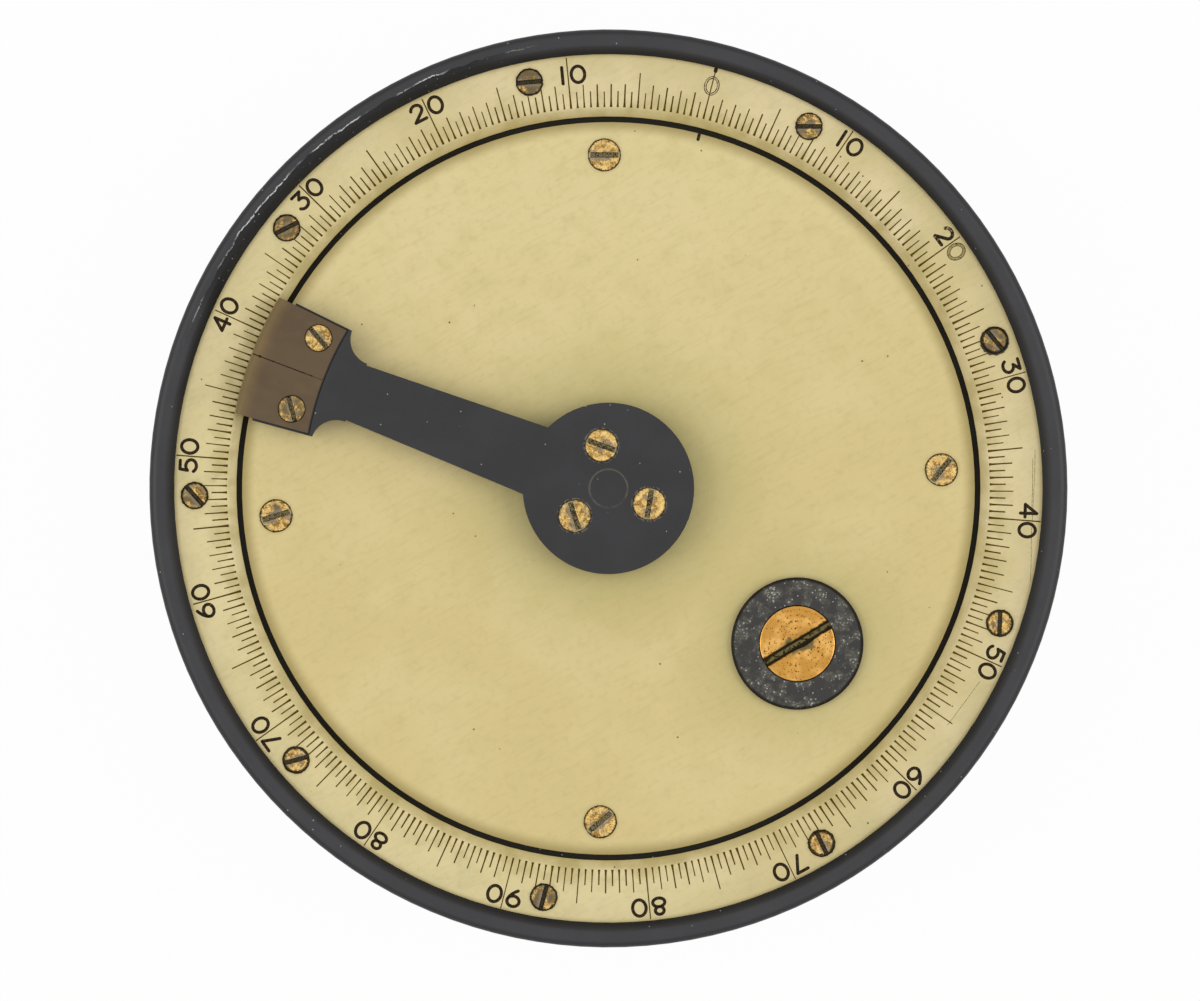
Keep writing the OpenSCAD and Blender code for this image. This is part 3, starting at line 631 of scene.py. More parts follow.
            bared = [Gate(edge, 0.42, 0.14), Gate(flakes, 0.46, 0.56), Gate(handled, 0.42, 0.56)]
            layers += [
                (scuffed, 0.6, self.scuff),
                (thinned, 0.8, self.thin),
                (bared, 0.92, self.bare),
            ]
        if self.rings:
            rubbed = edge_distance(tree, place, self.rings)
            near = add_node(tree, "ShaderNodeMath", {0: rubbed}, operation="ABSOLUTE")
            rubbed_through = [Gate(near, 0.13, 0.03), Gate(flakes, 0.28, 0.52)]
            layers.append((rubbed_through, 0.8, self.worn_ring))
        if self.seats:
            chipped = [Gate(edge_distance(tree, place, self.seats), 0.38, 0.04), Gate(fine, 0.46, 0.56)]
            layers.append((chipped, 0.85, self.worn_ring))
        layers.append((flecks(tree, place, 1.7, 0.11, 0.8), 0.75, self.dust))
        gloss = add_node(
            tree, "ShaderNodeMapRange",
            {0: clouds, 1: 0.3, 2: 0.7, 3: self.roughness - 0.06, 4: self.roughness + 0.08},
        )
        relief = add_node(tree, "ShaderNodeBump", {"Strength": 0.08, "Distance": 0.02 * MM, "Height": fine})
        return {
            "Base Color": lay(tree, self.ground, layers), "Roughness": gloss, "Normal": relief,
            "IOR": 1.48, "Specular IOR Level": 0.3,
        }


@dataclass(frozen=True)
class BlackenedBronze(Finish):
    """Bronze turned and blackened in acid.

    The eye sees slate black, darker towards the edge, with clusters of whitish corrosion.
    """

    centre: Round
    ground: str = "#413F3D"
    edge: str = "#1A150E"
    bloom: str = "#6E6C61"
    salt: str = "#BDBDB2"
    green: str = "#7E8878"

    def paint(self, tree: Tree, place: Socket) -> dict[str, Any]:
        """Lay clusters of corrosion over the black.

        Args:
            tree: Tree of the material.
            place: Position in millimetres.

        Returns:
            Inputs of the surface shader, by name.
        """
        clusters = add_node(tree, "ShaderNodeTexNoise", {"Vector": place, "Scale": per(1.3), "Detail": 3.0})
        fine = add_node(tree, "ShaderNodeTexNoise", {"Vector": place, "Scale": per(0.3), "Detail": 4.0})
        past = edge_distance(tree, place, [self.centre])
        layers = [
            ([Gate(clusters, 0.4, 0.62)], 0.3, self.bloom),
            ([Gate(clusters, 0.46, 0.6), Gate(fine, 0.48, 0.6)], 0.65, self.bloom),
            ([*flecks(tree, place, 0.5, 0.13, 0.7), Gate(clusters, 0.46, 0.56)], 0.75, self.salt),
            ([Gate(clusters, 0.57, 0.7), Gate(fine, 0.5, 0.62)], 0.7, self.salt),
            (flecks(tree, place, 0.6, 0.1, 0.85), 0.7, self.salt),
            (flecks(tree, place, 3.0, 0.34, 0.4), 0.5, self.green),
            ([Gate(past, -0.55, -0.25)], 0.9, self.edge),
        ]
        gloss = add_node(tree, "ShaderNodeMapRange", {0: fine, 1: 0.3, 2: 0.7, 3: 0.48, 4: 0.7})
        relief = add_node(tree, "ShaderNodeBump", {"Strength": 0.2, "Distance": 0.04 * MM, "Height": fine})
        colour = lay(tree, self.ground, layers)
        return {
            "Base Color": colour, "Roughness": gloss, "Normal": relief,
            "Metallic": 0.2, "Specular IOR Level": 0.15,
        }


@dataclass(frozen=True)
class AgedBrass(Finish):
    """Screw brass, turned, slotted and long handled.

    The eye sees warm gold with dark pits, brown patches, painted highlights as bright flecks
    and as bright arcs near the polished edge, grey tarnish on the worst heads and beside the
    slot, black in the slot that is dirt and painted shade, and dirt caked round the edge.
    Flecks and pits are drawn coarser than real ones, so that they show.
    """

    bright: str = "#B58C49"
    golden: str = "#E2BE74"
    # Colour of the painted highlights
    glint: str = "#F6D792"
    brown: str = "#6E552E"
    tarnished: str = "#675C44"
    smear: str = "#847A6C"
    grime: str = "#1C1812"
    silt: str = "#807553"
    packed: str = "#BFB387"

    def paint(self, tree: Tree, place: Socket) -> dict[str, Any]:
        """Lay patina, tarnish and dirt over the gold.

        Args:
            tree: Tree of the material.
            place: Position in millimetres.

        Returns:
            Inputs of the surface shader, by name.
        """
        head = add_node(tree, "ShaderNodeAttribute", out="Vector", attribute_name="screw_place")
        tarnish, filled, caked = (
            add_node(tree, "ShaderNodeAttribute", out="Fac", attribute_name=label)
            for label in ("tarnish", "filled", "caked")
        )
        across = add_node(tree, "ShaderNodeSeparateXYZ", {0: head}, out="Y")
        depth = across.node.outputs["Z"]
        reach = edge_distance(tree, head, [MIDDLE])
        patches, mottle, bits = (
            add_node(tree, "ShaderNodeTexNoise", {"Vector": place, "Scale": per(size), "Detail": detail})
            for size, detail in ((1.1, 3.0), (0.8, 2.5), (0.2, 4.0))
        )
        stain, spread = (
            add_node(tree, "ShaderNodeMath", {0: tarnish, 1: share, 2: cloud}, operation="MULTIPLY_ADD")
            for share, cloud in ((0.55, patches), (0.25, mottle))
        )
        rim = add_node(tree, "ShaderNodeMath", {0: bits, 1: 0.2, 2: reach}, operation="MULTIPLY_ADD")
        dirty = add_node(tree, "ShaderNodeMath", {0: rim, 1: caked}, operation="ADD")
        side = add_node(tree, "ShaderNodeMath", {0: across}, operation="ABSOLUTE")
        by_slot = add_node(tree, "ShaderNodeMath", {0: bits, 1: -0.6, 2: side}, operation="MULTIPLY_ADD")
        # Bright arcs near the polished edge, painted as highlights
        painted_glint_arcs = [
            Gate(rim, 0.7, 0.86), Gate(rim, 1.06, 0.96), Gate(patches, 0.45, 0.6), Gate(stain, 1.1, 0.9),
        ]
        floor = [Gate(depth, -0.2, -0.27), Gate(filled, 0.0, 1.0), Gate(bits, 0.4, 0.56)]
        ends = [Gate(depth, 0.12, -0.05), Gate(reach, 0.82, 0.95), Gate(filled, 0.6, 0.9)]
        layers = [
            ([Gate(spread, 0.52, 0.78)], 0.55, self.brown),
            ([Gate(stain, 0.6, 0.86)], 0.5, self.brown),
            ([Gate(mottle, 0.58, 0.4), Gate(stain, 0.98, 0.76)], 0.8, self.golden),
            ([Gate(bits, 0.5, 0.66)], 0.5, self.brown),
            # Painted highlights: bright flecks, then bright arcs
            ([Gate(bits, 0.5, 0.34), Gate(stain, 1.05, 0.85)], 0.5, self.glint),
            (painted_glint_arcs, 0.65, self.glint),
            ([Gate(stain, 0.76, 1.0)], 0.85, self.tarnished),
            ([Gate(by_slot, 0.16, -0.06), Gate(patches, 0.44, 0.54)], 0.8, self.smear),
            (flecks(tree, place, 0.6, 0.1, 0.4), 0.8, self.grime),
            ([Gate(dirty, 0.98, 1.1)], 0.92, self.grime),
            # Darkened below the head's top face, in the slot and down its edge: dirt and painted shade
            ([Gate(depth, 0.16, 0.03)], 0.95, self.grime),
            (floor, 1.0, self.silt),
            (ends, 0.8, self.packed),
        ]
        gloss = add_node(tree, "ShaderNodeMapRange", {0: stain, 1: 0.4, 2: 1.0, 3: 0.28, 4: 0.5})
        relief = add_node(tree, "ShaderNodeBump", {"Strength": 0.3, "Distance": 0.04 * MM, "Height": bits})
        colour = lay(tree, self.bright, layers)
        return {"Base Color": colour, "Roughness": gloss, "Normal": relief, "Metallic": 1.0}


@dataclass(frozen=True)
class TurnedBrass(Finish):
    """Brass faced in a lathe and left bare.

    The eye sees orange gold with rings of tool marks, dark pits along them, and dirt that
    spreads from a chewed slot. The slot is darkened inside by dirt and painted shade, with
    lighter silt along the middle of its floor. The rings are drawn coarser than real ones, so
    that they show.
    """

    centre: Flat
    radius: float
    slot_dir: float
    slot_width: float
    ground: str = "#C69144"
    light: str = "#E8B465"
    mark: str = "#A87732"
    pit: str = "#33240F"
    stain: str = "#645B3C"
    grime: str = "#251F13"
    silt: str = "#776C48"
    chewed: tuple[Round, ...] = (Round(1.3, -0.85, 0.6), Round(0.2, -0.8, 0.4), Round(-0.7, 0.75, 0.35))

    def paint(self, tree: Tree, place: Socket) -> dict[str, Any]:
        """Lay tool marks, pits and dirt over the gold.

        Args:
            tree: Tree of the material.
            place: Position in millimetres.

        Returns:
            Inputs of the surface shader, by name.
        """
        own = add_node(
            tree, "ShaderNodeMapping",
            {
                "Vector": place, "Location": (*self.centre, COLLAR_TOP),
                "Rotation": (0, 0, math.radians(self.slot_dir)),
            },
            vector_type="TEXTURE",
        )
        across = add_node(tree, "ShaderNodeSeparateXYZ", {0: own}, out="Y")
        depth = across.node.outputs["Z"]
        reach = edge_distance(tree, own, [MIDDLE])
        rings = add_node(
            tree, "ShaderNodeTexWave",
            {"Vector": own, "Scale": per(2.6), "Distortion": 1.2, "Detail": 2.0, "Detail Scale": 1.5},
            out="Fac", wave_type="RINGS", rings_direction="Z",
        )
        clouds = add_node(tree, "ShaderNodeTexNoise", {"Vector": own, "Scale": per(2.4), "Detail": 2.0})
        ragged = add_node(tree, "ShaderNodeTexNoise", {"Vector": own, "Scale": per(0.45), "Detail": 4.0})
        side = add_node(tree, "ShaderNodeMath", {0: across}, operation="ABSOLUTE")
        by_slot = add_node(tree, "ShaderNodeMath", {0: ragged, 1: -0.55, 2: side}, operation="MULTIPLY_ADD")
        edge = self.slot_width / 2
        pitted = [
            Gate(reach, 0.5, 1.4), Gate(reach, 0.97 * self.radius, 0.88 * self.radius),
            Gate(rings, 0.35, 0.6), Gate(clouds, 0.3, 0.5),
        ]
        stained = [Gate(by_slot, edge + 0.5, edge - 0.1), Gate(reach, 3.4, 1.0), Gate(clouds, 0.36, 0.56)]
        bitten = add_node(
            tree, "ShaderNodeMath",
            {0: ragged, 1: -1.4, 2: edge_distance(tree, own, self.chewed)}, operation="MULTIPLY_ADD",
        )
        floor = [Gate(depth, -0.5, -0.6), Gate(side, 0.32, 0.16), Gate(ragged, 0.4, 0.54)]
        layers = [
            ([Gate(clouds, 0.4, 0.65)], 0.9, self.light),
            ([Gate(rings, 0.5, 1.0)], 0.14, self.mark),
            ([*flecks(tree, own, 0.36, 0.09, 0.6, flat=True), *pitted], 0.9, self.pit),
            ([*flecks(tree, own, 0.62, 0.15, 0.45, flat=True), *pitted], 0.85, self.pit),
            (flecks(tree, own, 0.5, 0.09, 0.25, flat=True), 0.8, self.pit),
            (stained, 0.85, self.stain),
            ([Gate(bitten, -0.4, -0.75)], 0.85, self.stain),
            # Dark in and beside the slot: dirt, and painted shade in the slot
            ([Gate(by_slot, edge - 0.1, edge - 0.3)], 0.7, self.grime),
            ([Gate(reach, self.radius - 0.2, self.radius - 0.02)], 0.5, self.mark),
            # Darkened in the slot below its top, then lighter silt along the middle of the floor: dirt and
            # painted shade
            ([Gate(depth, -0.12, -0.3)], 0.95, self.grime),
            (floor, 0.85, self.silt),
        ]
        gloss = add_node(tree, "ShaderNodeMapRange", {0: ragged, 1: 0.3, 2: 0.7, 3: 0.26, 4: 0.42})
        relief = add_node(
            tree, "ShaderNodeBump", {"Strength": 0.15, "Distance": 0.02 * MM, "Height": rings}
        )
        colour = lay(tree, self.ground, layers)
        return {"Base Color": colour, "Roughness": gloss, "Normal": relief, "Metallic": 1.0}


@dataclass(frozen=True)
class Horn(Finish):
    """Pressed and polished horn.

    The eye sees a cloudy brown with faint streaks along the plate, lighter and yellower
    where the reading edge is thin.
    """

    ground: str = "#594731"
    cloud: str = "#604E37"
    thin: str = "#7E683F"
    thin_from: float = 47.4
    thin_to: float = 49.9
    inner_end: float = PLATE_IN
    spots: tuple[Round, ...] = ()
    grime: str = "#1E1711"
    streak_size: Point = (7.0, 4.0, 4.0)

    def paint(self, tree: Tree, place: Socket) -> dict[str, Any]:
        """Lay clouds, the light edge and dirt over the brown.

        Args:
            tree: Tree of the material.
            place: Position in millimetres.

        Returns:
            Inputs of the surface shader, by name.
        """
        along = add_node(
            tree, "ShaderNodeMapping",
            {"Vector": place, "Rotation": (0, 0, math.radians(ARM_DIR)), "Scale": self.streak_size},
            vector_type="TEXTURE",
        )
        clouds = add_node(tree, "ShaderNodeTexNoise", {"Vector": along, "Scale": per(1.0), "Detail": 3.0})
        fine = add_node(tree, "ShaderNodeTexNoise", {"Vector": along, "Scale": per(0.3), "Detail": 2.0})
        radius = edge_distance(tree, place, [MIDDLE])
        wander = add_node(tree, "ShaderNodeMath", {0: clouds, 1: 1.0, 2: radius}, operation="MULTIPLY_ADD")
        seat = edge_distance(tree, place, self.spots)
        layers = [
            ([Gate(clouds, 0.35, 0.65)], 0.8, self.cloud),
            ([Gate(fine, 0.5, 0.75)], 0.1, self.thin),
            ([Gate(wander, self.thin_from + 0.5, self.thin_to + 0.5)], 0.9, self.thin),
            ([Gate(seat, 0.1, 0.0)], 0.4, self.grime),
            ([Gate(radius, self.inner_end + 0.16, self.inner_end + 0.04)], 0.9, self.grime),
            (flecks(tree, place, 1.8, 0.08, 0.3), 0.4, self.grime),
        ]
        gloss = add_node(tree, "ShaderNodeMapRange", {0: fine, 1: 0.3, 2: 0.7, 3: 0.3, 4: 0.42})
        return {
            "Base Color": lay(tree, self.ground, layers), "Roughness": gloss,
            "IOR": 1.54, "Specular IOR Level": 0.3,
        }


@dataclass(frozen=True)
class EngraversInk(Finish):
    """Wax ink rubbed into engraved lines.

    The eye sees brown black that has crumbled here and there, and in some lines is worn
    away to a stain in the ivorine.
    """

    ground: str = "#221912"
    brown: str = "#483A22"
    stain: str = "#A59563"

    def paint(self, tree: Tree, place: Socket) -> dict[str, Any]:
        """Lay crumbled and worn ink over the black.

        Args:
            tree: Tree of the material.
            place: Position in millimetres.

        Returns:
            Inputs of the surface shader, by name.
        """
        left = add_node(tree, "ShaderNodeAttribute", out="Fac", attribute_name="ink")
        crumbs = add_node(tree, "ShaderNodeTexNoise", {"Vector": place, "Scale": per(0.3), "Detail": 3.0})
        kept = add_node(tree, "ShaderNodeMath", {0: left, 1: crumbs}, operation="SUBTRACT")
        layers = [
            ([Gate(crumbs, 0.42, 0.64)], 0.7, self.brown),
            ([Gate(kept, 0.16, -0.06)], 1.0, self.stain),
        ]
        colour = lay(tree, self.ground, layers)
        return {"Base Color": colour, "Roughness": 0.6, "IOR": 1.45, "Specular IOR Level": 0.1}


@dataclass(frozen=True)
class WorksMetal(Finish):
    """Sheet or bar metal, sawn, filed and left bare inside the case.

    The eye sees plain metal with file marks and a thin uneven tarnish. The marks are drawn
    coarser than real ones, so that they show.
    """

    ground: str
    tarnish: str
    roughness: float
    mark_dir: float = 40.0
    mark_size: Point = (4.0, 0.2, 0.2)

    def paint(self, tree: Tree, place: Socket) -> dict[str, Any]:
        """Lay file marks and tarnish over the metal.

        Args:
            tree: Tree of the material.
            place: Position in millimetres.

        Returns:
            Inputs of the surface shader, by name.
        """
        along = add_node(
            tree, "ShaderNodeMapping",
            {"Vector": place, "Rotation": (0, 0, math.radians(self.mark_dir)), "Scale": self.mark_size},
            vector_type="TEXTURE",
        )
        marks = add_node(tree, "ShaderNodeTexNoise", {"Vector": along, "Scale": per(1.0), "Detail": 2.0})
        clouds = add_node(tree, "ShaderNodeTexNoise", {"Vector": place, "Scale": per(4.0), "Detail": 3.0})
        layers = [
            ([Gate(clouds, 0.45, 0.72)], 0.6, self.tarnish),
            ([Gate(marks, 0.5, 0.75)], 0.3, self.tarnish),
        ]
        low, high = self.roughness - 0.08, self.roughness + 0.1
        gloss = add_node(tree, "ShaderNodeMapRange", {0: clouds, 1: 0.3, 2: 0.7, 3: low, 4: high})
        relief = add_node(
            tree, "ShaderNodeBump", {"Strength": 0.15, "Distance": 0.02 * MM, "Height": marks}
        )
        colour = lay(tree, self.ground, layers)
        return {"Base Color": colour, "Roughness": gloss, "Normal": relief, "Metallic": 1.0}


@dataclass(frozen=True)
class SilveredGlass(Finish):
    """Plate glass with silver behind it.

    The eye sees a clear reflection, with small spots where the silver has gone.
    """

    ground: str = "#D8DCDC"
    spot: str = "#6F6E68"

    def paint(self, tree: Tree, place: Socket) -> dict[str, Any]:
        """Lay spots over the silver.

        Args:
            tree: Tree of the material.
            place: Position in millimetres.

        Returns:
            Inputs of the surface shader, by name.
        """
        layers = [(flecks(tree, place, 1.6, 0.16, 0.4), 0.7, self.spot)]
        haze = add_node(tree, "ShaderNodeTexNoise", {"Vector": place, "Scale": per(3.0), "Detail": 2.0})
        gloss = add_node(tree, "ShaderNodeMapRange", {0: haze, 1: 0.4, 2: 0.8, 3: 0.02, 4: 0.1})
        return {"Base Color": lay(tree, self.ground, layers), "Roughness": gloss, "Metallic": 1.0}


@dataclass(frozen=True)
class ClearGlass(Finish):
    """Ground and polished plate glass.

    The eye sees through it, with a faint green at the edge and a little dust.
    """

    ground: str = "#EAF3EF"
    dust: str = "#B7B8B0"

    def paint(self, tree: Tree, place: Socket) -> dict[str, Any]:
        """Lay a little haze on the glass.

        Args:
            tree: Tree of the material.
            place: Position in millimetres.

        Returns:
            Inputs of the surface shader, by name.
        """
        haze = add_node(tree, "ShaderNodeTexNoise", {"Vector": place, "Scale": per(2.5), "Detail": 3.0})
        gloss = add_node(tree, "ShaderNodeMapRange", {0: haze, 1: 0.5, 2: 0.8, 3: 0.0, 4: 0.12})
        colour = lay(tree, self.ground, [(flecks(tree, place, 1.5, 0.1, 0.3), 0.5, self.dust)])
        return {"Base Color": colour, "Roughness": gloss, "Transmission Weight": 1.0, "IOR": 1.52}


DISC_IVORINE = Ivorine(
    "Celluloid ivorine, disc", Slot.IVORINE, ground="#D6C386", warm="#DCC98F", light="#E3D39B",
    greenish="#D1C083", edges=(Band(46.0, 48.1, 0.72),), patchy=(), spots=DISC_SEATS,
    shaded=(HUB, COLLAR_SHADE), light_dir=100.0,
)
RING_IVORINE = Ivorine(
    "Celluloid ivorine, ring", Slot.IVORINE, ground="#D3C28B", warm="#E1D0A0", light="#E3D49E",
    greenish="#CCC08B", edges=(Band(50.1, 49.3, 0.34), Band(49.3, 48.5, 0.4), Band(56.1, 56.9, 0.36)),
    patchy=(Band(53.4, 50.2, 0.34),), spots=RING_SEATS, shaded=(MIDDLE,), light_dir=205.0,
    dirt="#988330", grime="#241C12",
)
WINDOWS = tuple(
    Window(SIGHT_DIR + way, half, low=6.8, high=21.68) for way, half in ((-76, 36), (0, 34), (76, 36))
)
RIM_LACQUER = BlackLacquer(
    "Satin black lacquer, case", Slot.LACQUER, ground="#38383A", bloom="#3F3F41", roughness=0.42,
    # Painted shade on the rim's inner slope, and a painted dark reflection on its outer rounding
    dark=(Band(58.2, 57.2, 0.75), Band(57.45, 57.0, 0.8), Band(59.1, 59.7, 0.65)),
    worn=(WornArc(58.5, 98, 162),), arrises=((RIM_R, 1.8), (RIM_R, 27.98)), windows=WINDOWS,
)
PLAIN_LACQUER = BlackLacquer("Satin black lacquer, works", Slot.LACQUER)
BASE_LACQUER = BlackLacquer(
    "Satin black lacquer, base", Slot.LACQUER, arrises=((BASE_R, 0.0),),
    scuff_size=(8.0, 0.35, 0.35), scuff_dir=35.0,
)
DECK_LACQUER = BlackLacquer(
    "Satin black lacquer, deck", Slot.LACQUER, ground="#1F1B11", bloom="#2C2617", roughness=0.55,
)
ARM_LACQUER = BlackLacquer(
    "Satin black lacquer, arm", Slot.LACQUER, rings=(Round(0, 0, PLUG_R),), seats=HUB_SCREWS,
)
COLLAR_BRONZE = BlackenedBronze("Acid blackened bronze, collar", Slot.BRONZE, centre=COLLAR)
EYE_BRONZE = BlackenedBronze("Acid blackened bronze, sight hole", Slot.BRONZE, centre=EDGELESS)
SCREW_BRASS = AgedBrass("Aged screw brass", Slot.BRASS)
PLATE_HORN = Horn("Polished horn", Slot.HORN, spots=PLATE_SCREWS)
INK = EngraversInk("Engraver's ink", Slot.LACQUER)
RULED_INK = EngraversInk("Engraver's ink in ruled lines", Slot.LACQUER, ground="#4A3805", brown="#6B5209")
HORN_INK = EngraversInk("Engraver's ink in horn", Slot.LACQUER, stain="#57452F")
WORKS_BRASS = WorksMetal(
    "Filed clock brass", Slot.BRASS, ground="#C49A50", tarnish="#8A6A34", roughness=0.36,
)
WORKS_STEEL = WorksMetal(
    "Turned grey steel", Slot.STEEL, ground="#8D9094", tarnish="#5C5B58", roughness=0.32,
)
SILVERED = SilveredGlass("Silvered plate glass", Slot.SILVER)
CLEAR = ClearGlass("Clear plate glass", Slot.GLASS)


def settle(holder: bpy.types.Object) -> Mesh:
    """Turn an object's modifiers into a plain mesh, and remove the object.

    Args:
        holder: Object that is in the scene.

    Returns:
        The mesh, with all its attributes.
    """
    graph = bpy.context.evaluated_depsgraph_get()
    made = bpy.data.meshes.new_from_object(
        holder.evaluated_get(graph), preserve_all_data_layers=True, depsgraph=graph
    )
    holder.modifiers.clear()
    bpy.data.objects.remove(holder)
    return made


def added(data: bpy.types.ID, name: str = "") -> bpy.types.Object:
    """Put a mesh, a lamp or a camera into the scene.

    Args:
        data: The mesh, lamp or camera.
        name: Name of the object, or nothing for the data's own.

    Returns:
        The object.
    """
    made = bpy.data.objects.new(name or data.name, data)
    bpy.context.scene.collection.objects.link(made)
    return made


def shaded_by_angle(mesh: Mesh, angle: float) -> Mesh:
    """Shade a mesh smooth, apart from its sharper edges.

    Args:
        mesh: Mesh to shade, which is changed.
        angle: Edges sharper than this keep their crease.

    Returns:
        The same mesh.
    """
    mesh.shade_smooth()
    mesh.set_sharp_from_angle(angle=math.radians(angle))
    return mesh


def outwards(shape: bmesh.types.BMesh, mesh: Mesh) -> Mesh:
    """Turn a closed shape's faces outwards and hand it over to a mesh.

    Args:
        shape: The shape, which is used up.
        mesh: Mesh that takes it, in place of what it held.

    Returns:
        The mesh.
    """
    bmesh.ops.recalc_face_normals(shape, faces=shape.faces)
    shape.to_mesh(mesh)
    shape.free()
    return mesh


def merged(mesh: Mesh, gap: float = JOIN) -> Mesh:
    """Join points that lie closer than a gap, and take away faces with no area.

    Args:
        mesh: Mesh to clean, which is changed.
        gap: Greatest distance between points that are one.

    Returns:
        The same mesh.
    """
    shape = bmesh.new()
    shape.from_mesh(mesh)
    bmesh.ops.remove_doubles(shape, verts=shape.verts, dist=gap * MM)
    bmesh.ops.dissolve_degenerate(shape, edges=shape.edges, dist=gap * MM)
    return outwards(shape, mesh)


def rounded(mesh: Mesh, width: float, segments: int = 2, angle: float = 32) -> Mesh:
    """Round a mesh's sharp edges.

    Args:
        mesh: Closed mesh.
        width: Width of the rounding.
        segments: Faces across the rounding.
        angle: Edges sharper than this are rounded.

    Returns:
        The rounded mesh.
    """
    holder = added(mesh)
    bevel = holder.modifiers.new("Rounding", "BEVEL")
    bevel.width = width * MM
    bevel.segments = segments
    bevel.limit_method = "ANGLE"
    bevel.angle_limit = math.radians(angle)
    made = merged(settle(holder))
    shaded = added(shaded_by_angle(made, CREASE))
    flat = shaded.modifiers.new("Flat faces stay flat", "WEIGHTED_NORMAL")
    flat.keep_sharp = True
    return settle(shaded)


def softened(node: str, width: float, segments: int = 2) -> Mesh:
    """Copy a node's mesh, close its seams and round its edges.

    Args:
        node: Name of the node.
        width: Width of the rounding.
        segments: Faces across the rounding.

    Returns:
        The rounded copy.
    """
    shape = bmesh.new()
    shape.from_mesh(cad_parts[node].data)
    bmesh.ops.remove_doubles(shape, verts=shape.verts, dist=2 * JOIN * MM)
    bmesh.ops.dissolve_limit(
        shape, angle_limit=math.radians(IN_PLANE), verts=shape.verts, edges=shape.edges
    )
    return rounded(outwards(shape, bpy.data.meshes.new(node)), width, segments)


def lathed(name: str, profile: Sequence[Flat], sides: int) -> Mesh:
    """Turn a profile round the Z axis.

    Args:
        name: Name of the mesh.
        profile: Radius and height of each point, from the axis round to the axis.
        sides: Faces round the turn.

    Returns:
        A closed mesh.
    """
    shape = bmesh.new()
    rows = []
    for k in range(sides):
        spin = Matrix.Rotation(math.tau * k / sides, 3, "Z")
        rows.append([shape.verts.new(spin @ Vector((r, 0, z)) * MM) for r, z in profile])
    for k in range(sides):
        here, there = rows[k], rows[(k + 1) % sides]
        for i in range(len(profile) - 1):
            shape.faces.new((here[i], here[i + 1], there[i + 1], there[i]))
    bmesh.ops.remove_doubles(shape, verts=shape.verts, dist=JOIN * MM)
    return outwards(shape, bpy.data.meshes.new(name))


def prism(name: str, outline: Sequence[Flat], floor: float, top: float) -> Mesh:
    """Stand an outline up between a level floor and a level top.

    Args:
        name: Name of the mesh.
        outline: Corners seen from above.
        floor: Height of the floor.
        top: Height of the top.

    Returns:
        A closed mesh.
    """
    shape = bmesh.new()
    low, high = ([shape.verts.new(Vector((x, y, z)) * MM) for x, y in outline] for z in (floor, top))
    shape.faces.new(low)
    shape.faces.new(high)
    for i in range(len(low)):
        k = (i + 1) % len(low)
        shape.faces.new((low[i], low[k], high[k], high[i]))
    return outwards(shape, bpy.data.meshes.new(name))


def carved(body: Mesh, cutters: Iterable[Mesh]) -> Mesh:
    """Cut meshes out of another.

    Args:
        body: Closed mesh to cut.
        cutters: Closed meshes to take away.

    Returns:
        What is left.
    """
    holder = added(body)
    tools = [added(cutter) for cutter in cutters]
    for tool in tools:
        cut = holder.modifiers.new("Cut", "BOOLEAN")
        cut.operation = "DIFFERENCE"
        cut.solver = "EXACT"
        cut.object = tool
    left = settle(holder)
    for tool in tools:
        bpy.data.objects.remove(tool)
    return left


def fit(mesh: Mesh, name: str, body: Body, finish: Finish, *stands_for: str) -> bpy.types.Object:
    """Make a mesh a piece of the object.

    Args:
        mesh: Mesh in the shared frame.
        name: Name of the piece.
        body: Body that it moves with.
        finish: Finish that it wears.
        *stands_for: Nodes that it replaces.

    Returns:
        The piece.
    """
    mesh.materials.clear()
    mesh.materials.append(finish.material())
    piece = added(mesh, name)
    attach(piece, body.value)
    if stands_for:
        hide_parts(*stands_for)
    LOG.info("%s rides on %s in %s", name, body.value, finish.name)
    return piece


def dress(node: str, finish: Finish) -> None:
    """Give a node its finish, in place of its plain colour."""
    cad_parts[node].material_slots[0].material = finish.material()
    LOG.info("%s wears %s", node, finish.name)


def start_tree(name: str, inputs: Iterable[tuple[str, str]]) -> tuple[Tree, dict[str, Socket]]:
    """Start a geometry tree with named inputs.

    Args:
        name: Name of the tree.
        inputs: Name and kind of each input after the geometry.

    Returns:
        The tree and its input sockets by name.
    """
    tree = bpy.data.node_groups.new(name, "GeometryNodeTree")
    tree.interface.new_socket("Geometry", in_out="OUTPUT", socket_type="NodeSocketGeometry")
    tree.interface.new_socket("Geometry", in_out="INPUT", socket_type="NodeSocketGeometry")
    for label, kind in inputs:
        tree.interface.new_socket(label, in_out="INPUT", socket_type=f"NodeSocket{kind}")
    first = add_node(tree, "NodeGroupInput")
    return tree, {socket.name: socket for socket in first.node.outputs}


def end_tree(tree: Tree, made: Socket, material: Socket) -> None:
    """End a geometry tree: make its instances real and give them their material.

    Args:
        tree: The tree.
        made: Geometry to hand on.
        material: Material that it gets.
    """
    real = add_node(tree, "GeometryNodeRealizeInstances", {"Geometry": made})
    dressed = add_node(tree, "GeometryNodeSetMaterial", {"Geometry": real, "Material": material})
    add_node(tree, "NodeGroupOutput", {"Geometry": dressed})


def grown(tree: Tree, seed: Mesh, values: dict[str, Any]) -> Mesh:
    """Run a geometry tree on a mesh.

    Args:
        tree: The tree.
        seed: Mesh that it starts from.
        values: Values of its inputs by name.

    Returns:
        The result as a plain mesh.
    """
    holder = added(seed)
    modifier = holder.modifiers.new(tree.name, "NODES")
    modifier.node_group = tree
    for item in tree.interface.items_tree:
        if item.in_out == "INPUT" and item.name in values:
            modifier[item.identifier] = values[item.name]
    return settle(holder)


